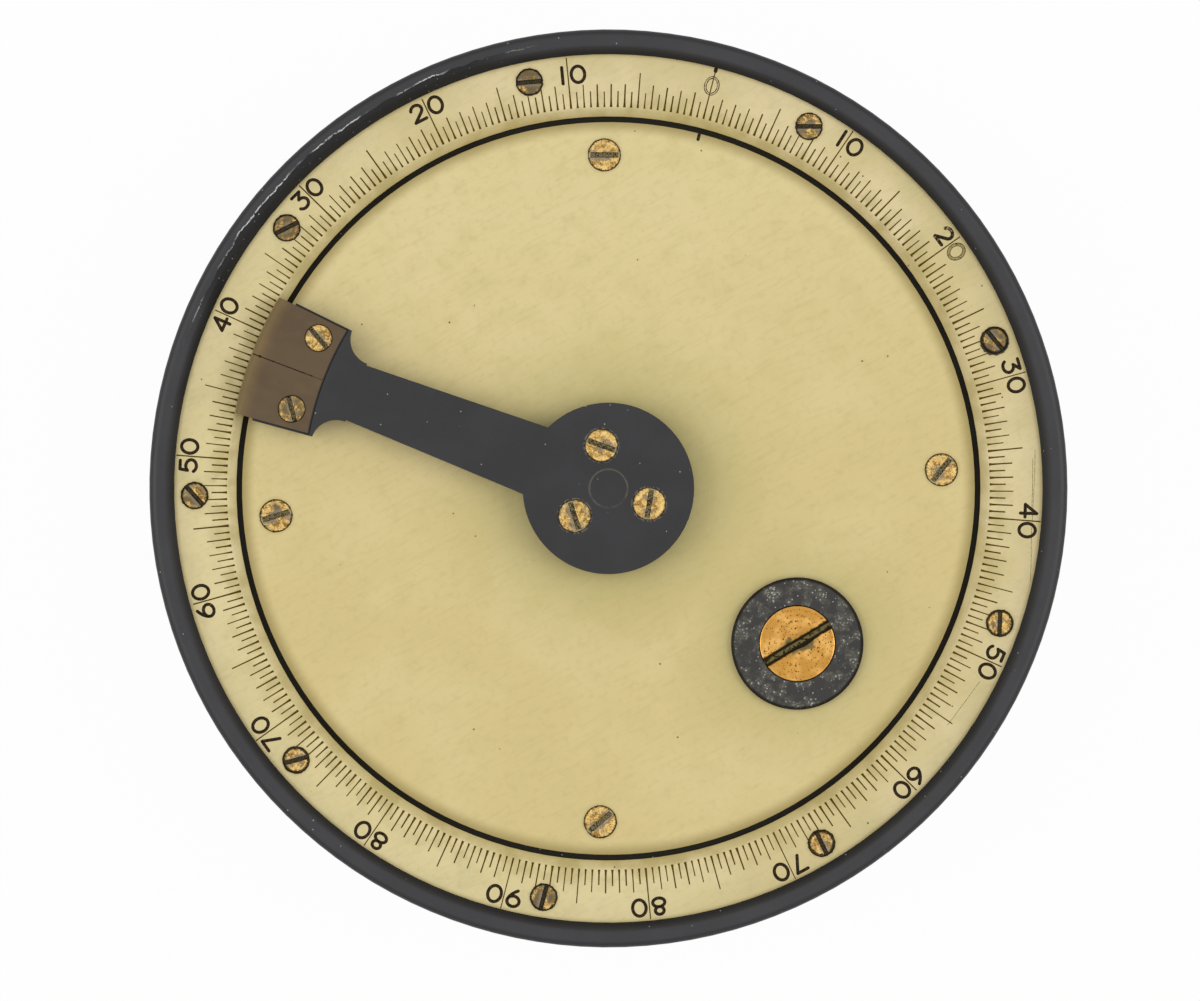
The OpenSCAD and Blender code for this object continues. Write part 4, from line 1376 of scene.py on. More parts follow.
def point_mesh(
    name: str, points: Sequence[Point], edges: Sequence[tuple[int, int]] = (), **layers: Sequence[float]
) -> Mesh:
    """Make a mesh of points and edges that carries numbers.

    Args:
        name: Name of the mesh.
        points: Places in millimetres.
        edges: Pairs of point numbers.
        **layers: A number for each point, by attribute name.

    Returns:
        The mesh.
    """
    mesh = bpy.data.meshes.new(name)
    mesh.from_pydata([Vector(p) * MM for p in points], edges, [])
    for label, values in layers.items():
        mesh.attributes.new(label, "FLOAT", "POINT").data.foreach_set("value", values)
    return mesh


@dataclass(frozen=True)
class ScrewSize:
    """One size of countersunk screw with a slot, with the surface it sits in at height zero."""

    head: float
    shank: float
    length: float
    proud: float = 0.2
    land: float = 0.25
    edge: float = 0.09
    dome: float = 0.03
    crown: float = 0.6
    tip: float = 0.1
    slot_width: float = 0.6
    slot_depth: float = 0.5
    clear: float = 1.0
    rounding: float = 0.035
    round_from: float = 50.0
    note_top: float = 0.2
    sides: int = 56

    def mesh(self) -> Mesh:
        """Turn and slot one screw, and note on it where each point lies on its head.

        Returns:
            The screw, with its slot along X.
        """
        head, shank, top = self.head / 2, self.shank / 2, self.proud
        profile = [
            (0, top), (self.crown * head, top - self.dome / 3), (head - self.edge, top - self.dome),
            (head, top - self.dome - self.edge), (head, -self.land),
            (shank, shank - head - self.land), (shank, self.tip - self.length),
            (shank - self.tip, -self.length), (0, -self.length),
        ]
        half, end = self.slot_width / 2, head + self.clear
        outline = [(-end, -half), (end, -half), (end, half), (-end, half)]
        slot = prism("Slot", outline, top - self.slot_depth, top + self.clear)
        cut = carved(lathed("Screw", profile, self.sides), [slot])
        made = rounded(cut, self.rounding, angle=self.round_from)
        places = made.attributes.new("screw_place", "FLOAT_VECTOR", "POINT")
        for point, note in zip(made.vertices, places.data):
            spot = point.co / MM
            note.vector = (spot.x / head, spot.y / head, spot.z - top + self.note_top)
        return made


@dataclass
class ScrewSet:
    """Screws of one size at one level: how each slot was left, its tarnish, and the dirt on its edge."""

    name: str
    node: str
    body: Body
    size: ScrewSize
    level: float
    spots: Sequence[Round]
    slots: Sequence[float]
    tarnish: Sequence[float]
    caked: Sequence[float]
    filled: float = 0.3
    facing_down: bool = False

    def tree(self) -> Tree:
        """Build the tree that sets a screw on each point and turns its slot.

        Returns:
            The tree.
        """
        tree, given = start_tree(
            f"Set of {self.name}", [("Screw", "Object"), ("Tilt", "Float"), ("Brass", "Material")]
        )
        turn = add_node(tree, "GeometryNodeInputNamedAttribute", {"Name": "slot"}, data_type="FLOAT")
        angles = add_node(tree, "ShaderNodeCombineXYZ", {"X": given["Tilt"], "Z": turn})
        turned = add_node(tree, "FunctionNodeEulerToRotation", {"Euler": angles})
        screw = add_node(tree, "GeometryNodeObjectInfo", {"Object": given["Screw"]}, out="Geometry")
        spread = add_node(
            tree, "GeometryNodeInstanceOnPoints",
            {"Points": given["Geometry"], "Instance": screw, "Rotation": turned},
        )
        end_tree(tree, spread, given["Brass"])
        return tree

    def build(self) -> bpy.types.Object:
        """Set the screws and fit them in place of their node.

        Returns:
            The piece.
        """
        pattern = added(self.size.mesh())
        seed = point_mesh(
            self.name, [(spot.x, spot.y, self.level) for spot in self.spots],
            slot=[math.radians(slot) for slot in self.slots], tarnish=self.tarnish,
            filled=[self.filled] * len(self.spots), caked=self.caked,
        )
        tilt = math.pi if self.facing_down else 0.0
        values = {"Screw": pattern, "Tilt": tilt, "Brass": SCREW_BRASS.material()}
        made = grown(self.tree(), seed, values)
        bpy.data.objects.remove(pattern)
        return fit(made, self.name, self.body, SCREW_BRASS, self.node)


@dataclass(frozen=True)
class Stroke:
    """One engraved line: the points it follows, its width, and the ink left at its start and its end."""

    points: tuple[Point, ...]
    width: float
    ink: float = 1.0
    closed: bool = False
    first_ink: float | None = None


def oval(x: float, y: float, wide: float, high: float, start: float, end: float) -> list[Flat]:
    """Points along part of an oval.

    Args:
        x: Middle of the oval, across.
        y: Middle of the oval, up.
        wide: Half of its width.
        high: Half of its height.
        start: Direction of the first point.
        end: Direction of the last point.

    Returns:
        The points.
    """
    steps = max(4, round(abs(end - start) / OVAL_STEP))
    turns = [math.radians(start + (end - start) * i / steps) for i in range(steps + 1)]
    return [(x + wide * math.cos(t), y + high * math.sin(t)) for t in turns]


def beside(line: Sequence[Flat], by: float, closed: bool) -> list[Flat]:
    """Points that keep a distance from a line.

    Args:
        line: Points of the line.
        by: Distance, above zero on the left.
        closed: Whether the line closes on itself.

    Returns:
        The points.
    """
    made = []
    for i, (x, y) in enumerate(line):
        last = line[i - 1] if i or closed else line[0]
        after = line[(i + 1) % len(line)] if i + 1 < len(line) or closed else line[-1]
        run, rise = after[0] - last[0], after[1] - last[1]
        size = math.hypot(run, rise)
        made.append((x - by * rise / size, y + by * run / size))
    return made


@dataclass
class Engraving:
    """Inked lines on one surface, made as low ridges that lie on it."""

    name: str
    body: Body
    strokes: list[Stroke] = field(default_factory=list)
    finish: EngraversInk = INK
    ridge: float = 0.08
    sides: int = 10
    join: float = 0.0002
    crease: float = 60.0
    end_shares: tuple[float, ...] = (0.04, 0.2, 0.55)

    def tree(self) -> Tree:
        """Build the tree that lays a flat rounded ridge along each line.

        Returns:
            The tree.
        """
        tree, given = start_tree(
            f"Ridges of {self.name}", [("Sides", "Int"), ("Ridge", "Float"), ("Ink", "Material")]
        )
        lines = add_node(tree, "GeometryNodeMeshToCurve", {"Mesh": given["Geometry"]})
        level = add_node(tree, "GeometryNodeSetCurveNormal", {"Curve": lines}, mode="Z_UP")
        circle = add_node(
            tree, "GeometryNodeCurvePrimitiveCircle", {"Resolution": given["Sides"], "Radius": 1.0}
        )
        low = add_node(tree, "ShaderNodeCombineXYZ", {"X": 1.0, "Y": given["Ridge"], "Z": 1.0})
        flat = add_node(tree, "GeometryNodeTransform", {"Geometry": circle, "Scale": low})
        pen = add_node(tree, "GeometryNodeInputNamedAttribute", {"Name": "pen"}, data_type="FLOAT")
        ridges = add_node(
            tree, "GeometryNodeCurveToMesh",
            {"Curve": level, "Profile Curve": flat, "Scale": pen, "Fill Caps": True},
        )
        end_tree(tree, ridges, given["Ink"])
        return tree

    def build(self) -> bpy.types.Object:
        """Lay every line and fit the result.

        Returns:
            The piece.
        """
        points: list[Point] = []
        edges: list[tuple[int, int]] = []
        pens: list[float] = []
        inks: list[float] = []
        for stroke in self.strokes:
            path, widths = self.tapered(stroke)
            first = len(points)
            points += path
            pens += [w / 2 * MM for w in widths]
            first_ink = stroke.ink if stroke.first_ink is None else stroke.first_ink
            inks += [first_ink + (stroke.ink - first_ink) * i / (len(path) - 1) for i in range(len(path))]
            edges += [(first + i, first + i + 1) for i in range(len(path) - 1)]
            if stroke.closed:
                edges.append((len(points) - 1, first))
        seed = point_mesh(self.name, points, edges, pen=pens, ink=inks)
        values = {"Sides": self.sides, "Ridge": self.ridge, "Ink": self.finish.material()}
        made = merged(grown(self.tree(), seed, values), self.join)
        return fit(shaded_by_angle(made, self.crease), self.name, self.body, self.finish)

    def tapered(self, stroke: Stroke) -> tuple[list[Point], list[float]]:
        """Add points at a line's ends, over which it rounds off.

        Args:
            stroke: The line.

        Returns:
            Its points, and its width at each.
        """
        path = [Vector(p) for p in stroke.points]
        if stroke.closed:
            return [tuple(p) for p in path], [stroke.width] * len(path)
        half = stroke.width / 2
        ends = [half * s for s in self.end_shares]
        round_off = [stroke.width * math.sqrt(1 - (1 - s) ** 2) for s in self.end_shares]
        head = (path[1] - path[0]).normalized()
        tail = (path[-2] - path[-1]).normalized()
        start = path[0] - head * half
        stop = path[-1] - tail * half
        made = [start + head * e for e in ends] + path + [stop + tail * e for e in reversed(ends)]
        widths = round_off + [stroke.width] * len(path) + round_off[::-1]
        return [tuple(p) for p in made], widths


def radial(direction: float, stops: Iterable[Flat]) -> tuple[Point, ...]:
    """Points on a line out from the dial's axis, from the radius and the height of each."""
    out = Vector((*polar(1, direction), 0))
    return tuple(tuple(out * radius + Vector((0, 0, height))) for radius, height in stops)


@dataclass
class Case:
    """Lacquered drum with its base, deck and sight hole."""

    slot_step: float = 42.0
    tarnish: tuple[float, ...] = (0.3, 0.4, 0.5, 0.3, 0.4, 0.5)
    screw: ScrewSize = ScrewSize(head=SMALL_HEAD, shank=1.8, length=4.12, proud=0.0)

    def build(self) -> None:
        """Dress the drum and set its base screws."""
        dress("case_drum", RIM_LACQUER)
        dress("base_plate", BASE_LACQUER)
        dress("deck_plate", DECK_LACQUER)
        dress("eye_bush", EYE_BRONZE)
        count = len(BASE_SCREWS)
        ScrewSet(
            "base_screw_set", "base_screws", Body.CASE, self.screw, BASE_FACE, BASE_SCREWS,
            [self.slot_step * i for i in range(count)], self.tarnish, [0.0] * count, facing_down=True,
        ).build()


@dataclass
class Dial:
    """Ivorine disc in the middle, with its four screws."""

    edge_round: float = 0.07
    edge_faces: int = 4
    slots: tuple[float, ...] = (0, 17, 40, 52)
    tarnish: tuple[float, ...] = (0.3, 0.5, 0.36, 0.38)
    filled: float = 0.9
    screw: ScrewSize = ScrewSize(head=LARGE_HEAD, shank=2.2, length=4.2, slot_width=0.7)

    def build(self) -> None:
        """Round the disc's edge and set its screws."""
        face = softened("dial_disc", self.edge_round, self.edge_faces)
        fit(face, "dial_face", Body.CASE, DISC_IVORINE, "dial_disc")
        ScrewSet(
            "disc_screw_set", "dial_disc_screws", Body.CASE, self.screw, DIAL_TOP, DISC_SCREWS,
            self.slots, self.tarnish, [0.0] * len(DISC_SCREWS), self.filled,
        ).build()


@dataclass
class Scale:
    """Ivorine ring with its screws, divisions and numerals."""

    slots: tuple[float, ...] = (-50, 0, 5, 27, -48, 15, 75, -65, 88)
    tarnish: tuple[float, ...] = (0.75, 0.7, 0.85, 0.85, 0.7, 0.42, 0.8, 0.42, 0.45)
    caked: tuple[float, ...] = (0.13, 0.03, 0.06, 0.05, 0.07, 0.13, 0.06, 0.15, 0.12)
    screw: ScrewSize = ScrewSize(head=SMALL_HEAD, shank=1.8, length=7.42)
    seed: int = 7
    lift: float = 0.004
    # Ruled lines: their lengths, and how width and ink change along each
    lines: int = 360
    inner: float = 49.85
    outer: float = 56.7
    half: float = 2.14
    unit: float = 3.15
    five: float = 4.7
    line: float = 0.26
    line_depth: float = 0.024
    line_shares: Flat = (0.8, 1.15)
    line_steps: int = 8
    uneven: float = 0.06
    bold_power: float = 5.0
    bold_share: float = 0.6
    thin_share: float = 0.62
    ink_lost: float = 0.22
    # Numerals, with the side and value of those that are lowered, worn or hollow
    numeral_r: float = 55.0
    height: float = 2.56
    pen: float = 0.43
    apart: float = 1.28
    ten_offsets: Flat = (-0.69, 1.37)
    lean: float = 2.5
    nudge: float = 0.05
    lowered: dict[tuple[int, int], float] = field(default_factory=lambda: {(1, 10): -0.73})
    worn: dict[tuple[int, int], float] = field(default_factory=lambda: {(1, 60): 0.8, (1, 40): 0.9})
    hollow: tuple[int, int] = (-1, 20)
    stain_ink: float = 0.46
    kept_ink: float = 0.95
    outline_ink: float = 0.84
    # Pens of the hollow numeral and the place of its outlines, as shares of the usual pen
    stain_pen: float = 0.8
    outline_pen: float = 0.3
    outline_off: float = 0.38
    # Zero marks, and the scratches on the ring by direction and radius
    zero_in: float = 0.68
    zero_ovals: tuple[Flat, ...] = ((0.95, 1.22), (0.72, 0.98))
    zero_pen: float = 0.13
    zero_ink: float = 0.6
    ring_mark: tuple[float, ...] = (56.3, 56.7)
    ring_mark_pen: float = 0.5
    disc_mark: tuple[float, ...] = (47.1, 47.5, 47.78)
    disc_mark_pen: float = 0.42
    trails: tuple[tuple[Flat, ...], ...] = (
        ((5.2, 56.0), (2.0, 55.75), (-2.0, 55.55), (-6.0, 55.6), (-10.0, 56.1), (-12.5, 56.5)),
        ((4.0, 55.6), (0.5, 55.45), (-2.5, 55.4)),
        ((-27.5, 54.7), (-31.0, 54.3), (-35.0, 54.05)),
    )
    trail_pen: float = 0.06
    trail_ink: float = 0.55

    def build(self) -> None:
        """Dress the ring, set its screws and engrave it."""
        dress("scale_ring", RING_IVORINE)
        ScrewSet(
            "ring_screw_set", "scale_ring_screws", Body.CASE, self.screw, RING_TOP, RING_SCREWS,
            self.slots, self.tarnish, self.caked,
        ).build()
        self.divisions()
        self.numerals()
        self.zero_marks()

    def divisions(self) -> bpy.types.Object:
        """Rule two lines to a unit, longer at each unit, five and ten.

        Returns:
            The piece.
        """
        sizes = ("Inner", "Half", "Unit", "Five", "Ten", "Width", "Depth", "Height", "Zero", "Uneven")
        tree, given = start_tree(
            "Ruled divisions",
            [("Lines", "Int"), *((s, "Float") for s in sizes), ("Seed", "Int"), ("Ink", "Material")],
        )
        index = add_node(tree, "GeometryNodeInputIndex")
        length: Socket = given["Half"]
        for step, label in ((2, "Unit"), (10, "Five"), (20, "Ten")):
            rest = add_node(tree, "FunctionNodeIntegerMath", {0: index, 1: step}, operation="MODULO")
            on = add_node(tree, "FunctionNodeCompare", {2: rest, 3: 0}, data_type="INT", operation="EQUAL")
            length = add_node(
                tree, "GeometryNodeSwitch", {0: on, 1: length, 2: given[label]}, input_type="FLOAT"
            )
        part = add_node(tree, "ShaderNodeMath", {0: math.tau, 1: given["Lines"]}, operation="DIVIDE")
        turn = add_node(
            tree, "ShaderNodeMath", {0: index, 1: part, 2: given["Zero"]}, operation="MULTIPLY_ADD"
        )
        places = add_node(
            tree, "ShaderNodeCombineXYZ",
            {
                axis: add_node(
                    tree, "ShaderNodeMath",
                    {0: add_node(tree, "ShaderNodeMath", {0: turn}, operation=wave), 1: given["Inner"]},
                    operation="MULTIPLY",
                )
                for axis, wave in (("X", "COSINE"), ("Y", "SINE"))
            } | {"Z": given["Height"]},
        )
        points = add_node(tree, "GeometryNodePoints", {"Count": given["Lines"], "Position": places})
        jitter = add_node(
            tree, "FunctionNodeRandomValue", {2: 0.0, 3: given["Uneven"], "Seed": given["Seed"]},
            out=1, data_type="FLOAT",
        )
        shorter = add_node(tree, "ShaderNodeMath", {0: 1.0, 1: jitter}, operation="SUBTRACT")
        reach = add_node(tree, "ShaderNodeMath", {0: length, 1: shorter}, operation="MULTIPLY")
        second = add_node(tree, "FunctionNodeIntegerMath", {0: given["Seed"], 1: 1}, operation="ADD")
        least, most = self.line_shares
        broad = add_node(
            tree, "FunctionNodeRandomValue", {2: least, 3: most, "Seed": second}, out=1, data_type="FLOAT"
        )
        width = add_node(tree, "ShaderNodeMath", {0: given["Width"], 1: broad}, operation="MULTIPLY")
        sides = add_node(tree, "ShaderNodeCombineXYZ", {"X": reach, "Y": width, "Z": given["Depth"]})
        heading = add_node(tree, "ShaderNodeCombineXYZ", {"Z": turn})
        turned = add_node(tree, "FunctionNodeEulerToRotation", {"Euler": heading})
        cube = add_node(tree, "GeometryNodeMeshCube", {"Size": (1, 1, 1), "Vertices X": self.line_steps})
        shifted = add_node(tree, "GeometryNodeTransform", {"Geometry": cube, "Translation": (0.5, 0, 0)})
        spot = add_node(tree, "GeometryNodeInputPosition")
        x = add_node(tree, "ShaderNodeSeparateXYZ", {0: spot}, out="X")
        left = add_node(tree, "ShaderNodeMath", {0: 1.0, 1: x}, operation="SUBTRACT")
        bold = add_node(tree, "ShaderNodeMath", {0: left, 1: self.bold_power}, operation="POWER")
        narrow = add_node(
            tree, "ShaderNodeMath", {0: bold, 1: self.bold_share, 2: self.thin_share},
            operation="MULTIPLY_ADD",
        )
        y = add_node(tree, "ShaderNodeMath", {0: x.node.outputs["Y"], 1: narrow}, operation="MULTIPLY")
        wedge_at = add_node(tree, "ShaderNodeCombineXYZ", {"X": x, "Y": y, "Z": x.node.outputs["Z"]})
        wedge = add_node(tree, "GeometryNodeSetPosition", {"Geometry": shifted, "Position": wedge_at})
        painted_light_and_ink_fade = add_node(
            tree, "ShaderNodeMath", {0: x, 1: -self.ink_lost, 2: 1.0}, operation="MULTIPLY_ADD"
        )
        inked = add_node(
            tree, "GeometryNodeStoreNamedAttribute",
            {"Geometry": wedge, "Name": "ink", "Value": painted_light_and_ink_fade}, data_type="FLOAT", domain="POINT",
        )
        lines = add_node(
            tree, "GeometryNodeInstanceOnPoints",
            {"Points": points, "Instance": inked, "Rotation": turned, "Scale": sides},
        )
        end_tree(tree, lines, given["Ink"])
        values = {
            "Lines": self.lines, "Inner": self.inner * MM, "Half": self.half * MM, "Unit": self.unit * MM,
            "Five": self.five * MM, "Ten": (self.outer - self.inner) * MM, "Width": self.line * MM,
            "Depth": self.line_depth * MM, "Height": RING_TOP * MM, "Zero": math.radians(ZERO_DIR),
            "Uneven": self.uneven, "Seed": self.seed, "Ink": RULED_INK.material(),
        }
        made = grown(tree, bpy.data.meshes.new("ring_divisions"), values)
        return fit(made, "ring_divisions", Body.CASE, RULED_INK)

    def digits(self) -> dict[str, list[tuple[list[Flat], bool]]]:
        """Draw the ten digits in one even line.

        Returns:
            The lines of each digit about its middle, and whether each closes on itself.
        """
        top = (self.height - self.pen) / 2
        bowl = (0.0, -0.385, 0.8, top - 0.385)
        six = [
            (oval(*bowl, *WHOLE), True),
            ([(-0.77, -0.2), (-0.64, 0.12), (-0.35, 0.5), (0.0, 0.81), (0.38, top)], False),
        ]
        return {
            "0": [(oval(0, 0, 0.88, top, *WHOLE), True)],
            "1": [([(0, top), (0, -top)], False)],
            "2": [
                (oval(0, 0.42, 0.74, top - 0.42, 168, -42) + [(-0.79, -top)], False),
                ([(-0.79, -top), (0.8, -top)], False),
            ],
            "3": [
                ([(-0.68, top), (0.65, top)], False), ([(0.65, top), (-0.1, 0.3)], False),
                (oval(-0.03, -0.38, 0.79, top - 0.38, 95, -152), False),
            ],
            "4": [
                ([(0.34, top), (-0.83, -0.45)], False), ([(-0.83, -0.45), (0.82, -0.45)], False),
                ([(0.34, top), (0.34, -top)], False),
            ],
            "5": [
                ([(-0.48, top), (0.65, top)], False), ([(-0.48, top), (-0.63, 0.08)], False),
                (oval(-0.03, -0.375, 0.8, top - 0.375, 139, -152), False),
            ],
            "6": six,
            "7": [([(-0.76, top), (0.77, top)], False), ([(0.77, top), (-0.26, -top)], False)],
            "8": [
                (oval(0, 0.56, 0.57, top - 0.56, *WHOLE), True),
                (oval(0, -0.5, 0.79, top - 0.5, *WHOLE), True),
            ],
            "9": [([(-x, -y) for x, y in line], closed) for line, closed in six],
        }

    def placed(
        self, line: Iterable[Flat], direction: float, across: float, lean: float = 0.0
    ) -> tuple[Point, ...]:
        """Stand a flat line on the ring, with its top outwards.

        Args:
            line: Points about the middle of a digit.
            direction: Direction from the middle of the dial.
            across: How far clockwise from there the digit's middle lies.
            lean: Turn about the digit's own middle.

        Returns:
            The points on the ring.
        """
        turn = math.radians(direction) - across / self.numeral_r
        out = Vector((math.cos(turn), math.sin(turn), 0))
        clockwise = Vector((out.y, -out.x, 0))
        tilt = Matrix.Rotation(math.radians(lean), 2)
        base = out * self.numeral_r + Vector((0, 0, RING_TOP + self.lift))
        leaned = [tilt @ Vector(p) for p in line]
        return tuple(tuple(base + clockwise * p.x + out * p.y) for p in leaned)

    def numerals(self) -> bpy.types.Object:
        """Engrave the tens both ways from the zero mark.

        Returns:
            The piece.
        """
        hand = random.Random(self.seed)
        digits = self.digits()
        engraving = Engraving("ring_numerals", Body.CASE)
        for side, last in ((1, 90), (-1, 80)):
            for value in range(10, last + 1, 10):
                direction = ZERO_DIR + side * 2 * value
                offsets = self.ten_offsets if value == 10 else (-self.apart, self.apart)
                drop = self.lowered.get((side, value), 0.0)
                ink = self.worn.get((side, value), 1.0)
                for digit, across in zip(str(value), offsets):
                    lean = hand.uniform(-self.lean, self.lean)
                    nudge = hand.uniform(-self.nudge, self.nudge)
                    stand = (direction, across + nudge, lean)
                    for line, closed in digits[digit]:
                        shifted = [(x, y + drop) for x, y in line]
                        if (side, value) == self.hollow:
                            engraving.strokes += self.hollowed(shifted, closed, stand)
                            continue
                        points = self.placed(shifted, *stand)
                        engraving.strokes.append(Stroke(points, self.pen, ink, closed))
        return engraving.build()

    def hollowed(self, line: Sequence[Flat], closed: bool, stand: Point) -> list[Stroke]:
        """Draw a digit's line as a stain between two thin lines.

        Args:
            line: Points about the middle of the digit.
            closed: Whether the line closes on itself.
            stand: The digit's direction, its place across and its lean.

        Returns:
            The stain and its two outlines.
        """
        ink = self.stain_ink if closed else self.kept_ink
        pen = self.stain_pen * self.pen
        strokes = [Stroke(self.placed(line, *stand), pen, ink, closed, first_ink=self.stain_ink)]
        for off in (-self.outline_off, self.outline_off):
            points = self.placed(beside(line, off * self.pen, closed), *stand)
            strokes.append(Stroke(points, self.outline_pen * self.pen, self.outline_ink, closed))
        return strokes

    def zero_marks(self) -> bpy.types.Object:
        """Engrave the empty zero and the index marks, and scratch the ring where it is scuffed.

        Returns:
            The piece.
        """
        engraving = Engraving("zero_marks", Body.CASE)
        for wide, high in self.zero_ovals:
            points = self.placed(oval(0, -self.zero_in, wide, high, *WHOLE), ZERO_DIR, 0)
            engraving.strokes.append(Stroke(points, self.zero_pen, self.zero_ink, True))
        marks = (
            (self.ring_mark, RING_TOP, self.ring_mark_pen), (self.disc_mark, DIAL_TOP, self.disc_mark_pen),
        )
        for mark, level, pen in marks:
            points = radial(ZERO_DIR, [(r, level) for r in mark])
            engraving.strokes.append(Stroke(points, pen))
        for trail in self.trails:
            points = tuple((*polar(r, way), RING_TOP) for way, r in trail)
            engraving.strokes.append(Stroke(points, self.trail_pen, self.trail_ink))
        return engraving.build()


@dataclass
class Arm:
    """Index arm with its plug, pointer plate, hairline and screws."""

    bar_round: float = 0.09
    plug_round: float = 0.07
    plate_round: float = 0.06
    hub_slots: tuple[float, ...] = (-72, 81, -20)
    hub_tarnish: tuple[float, ...] = (0.5, 0.32, 0.3)
    hub_filled: float = 0.8
    plate_slots: tuple[float, ...] = (-50, -75)
    plate_tarnish: tuple[float, ...] = (0.46, 0.74)
    plate_filled: float = 0.6
    caked: float = -0.07
    hub_screw: ScrewSize = ScrewSize(head=LARGE_HEAD, shank=2.2, length=3.6, slot_width=0.7)
    plate_screw: ScrewSize = ScrewSize(head=3.45, shank=1.8, length=1.9, slot_width=0.62)
    plate_edge: float = 49.2
    plate_out: float = 49.66
    hairline: float = 0.16
    # Where each stretch of the hairline starts, and the ink left in it
    stretches: tuple[Flat, ...] = ((PLATE_IN, 0.35), (41.3, 0.75), (43.0, 0.95), (47.0, 1.0))
    overlap: float = 0.05
    nick_in: float = 0.4
    nick_ink: float = 0.9
    blot: tuple[float, ...] = (48.55, 48.7)
    blot_ink: float = 0.75

    def build(self) -> None:
        """Make the arm, the plate and what holds them."""
        fit(softened("index_arm", self.bar_round), "arm_bar", Body.ARM, ARM_LACQUER, "index_arm")
        fit(softened("arm_spindle", self.plug_round), "arm_plug", Body.ARM, ARM_LACQUER, "arm_spindle")
        fit(softened("pointer_plate", self.plate_round), "arm_plate", Body.ARM, PLATE_HORN, "pointer_plate")
        ScrewSet(
            "hub_screw_set", "hub_screws", Body.ARM, self.hub_screw, ARM_TOP, HUB_SCREWS,
            self.hub_slots, self.hub_tarnish, [self.caked] * len(HUB_SCREWS), self.hub_filled,
        ).build()
        ScrewSet(
            "plate_screw_set", "pointer_screws", Body.ARM, self.plate_screw, PLATE_TOP, PLATE_SCREWS,
            self.plate_slots, self.plate_tarnish, [self.caked] * len(PLATE_SCREWS), self.plate_filled,
        ).build()
        self.scribe()

    def scribe(self) -> bpy.types.Object:
        """Scribe the hairline along the plate and over its reading edge.

        Returns:
            The piece.
        """
        engraving = Engraving("plate_hairline", Body.ARM, finish=HORN_INK)
        ends = [start + self.overlap for start, _ in self.stretches[1:]] + [self.plate_edge]
        for (start, ink), end in zip(self.stretches, ends):
            points = radial(ARM_DIR, [(start, PLATE_TOP), (end, PLATE_TOP)])
            engraving.strokes.append(Stroke(points, self.hairline, ink))
        drop = self.plate_out - self.plate_edge
        nick = radial(ARM_DIR, [
            (self.plate_edge - self.nick_in, PLATE_TOP), (self.plate_edge, PLATE_TOP),
            (self.plate_out, PLATE_TOP - drop),
        ])
        engraving.strokes.append(Stroke(nick, self.hairline, self.nick_ink))
        blot = radial(ARM_DIR, [(r, PLATE_TOP) for r in self.blot])
        engraving.strokes.append(Stroke(blot, 2 * self.hairline, self.blot_ink))
        return engraving.build()


@dataclass
class Arbor:
    """Black collar with the large slotted screw in it."""

    collar_round: float = 0.05
    head: float = 10.0
    thickness: float = 1.7
    shank: float = 3.6
    bottom: float = level_of("arbor_screw", 0)
    edge: float = 0.25
    shoulder: Flat = (0.1, 0.07)
    rounding: float = 0.05
    round_from: float = 50.0
    sides: int = 96
    slot_width: float = 1.2
    slot_dir: float = 31.0
    slot_depth: float = 0.85
    slot_steps: int = 48
    clear: float = 1.0
    # How far the slot's sides stray out and in, and the bite out of one of them
    stray_out: float = 0.05
    stray_in: float = 0.04
    bite: float = 0.22
    bite_at: float = 1.0
    bite_along: float = 1.1
    seed: int = 11

    def build(self) -> None:
        """Soften the collar and make the screw."""
        collar = softened("arbor_bush", self.collar_round)
        fit(collar, "arbor_collar", Body.CASE, COLLAR_BRONZE, "arbor_bush")
        metal = TurnedBrass(
            "Lathe faced brass", Slot.BRASS, centre=PIVOT, radius=self.head / 2,
            slot_dir=self.slot_dir, slot_width=self.slot_width,
        )
        fit(self.screw(), "arbor_large_screw", Body.MIRROR, metal, "arbor_screw")

    def slot(self) -> Mesh:
        """Draw the slot as a ragged trench, chewed wider on one side.

        Returns:
            The cutter, about the screw's own middle.
        """
        hand = random.Random(self.seed)
        half, reach, steps = self.slot_width / 2, self.head / 2 + self.clear, self.slot_steps
        xs = [-reach + 2 * reach * i / steps for i in range(steps + 1)]
        bites = [-self.bite * math.exp(-((x - self.bite_at) / self.bite_along) ** 2) for x in xs]
        lower = [
            (x, -half + hand.uniform(-self.stray_out, self.stray_in) + bite) for x, bite in zip(xs, bites)
        ]
        upper = [(x, half + hand.uniform(-self.stray_in, self.stray_out)) for x in reversed(xs)]
        return prism("Slot", lower + upper, COLLAR_TOP - self.slot_depth, COLLAR_TOP + self.clear)

    def screw(self) -> Mesh:
        """Turn and slot the screw, and set it at the arbor.

        Returns:
            The mesh.
        """
        head, shank = self.head / 2, self.shank / 2
        under = COLLAR_TOP - self.thickness
        inset, drop = self.shoulder
        profile = [
            (0, COLLAR_TOP), (head - self.edge, COLLAR_TOP), (head - inset, COLLAR_TOP - drop),
            (head, COLLAR_TOP - self.edge), (head, under), (shank, under), (shank, self.bottom),
            (0, self.bottom),
        ]
        cut = carved(lathed("Large screw", profile, self.sides), [self.slot()])
        made = rounded(cut, self.rounding, angle=self.round_from)
        turn = Matrix.Rotation(math.radians(self.slot_dir), 4, "Z")
        made.transform(Matrix.Translation(Vector((*PIVOT, 0)) * MM) @ turn)
        return made


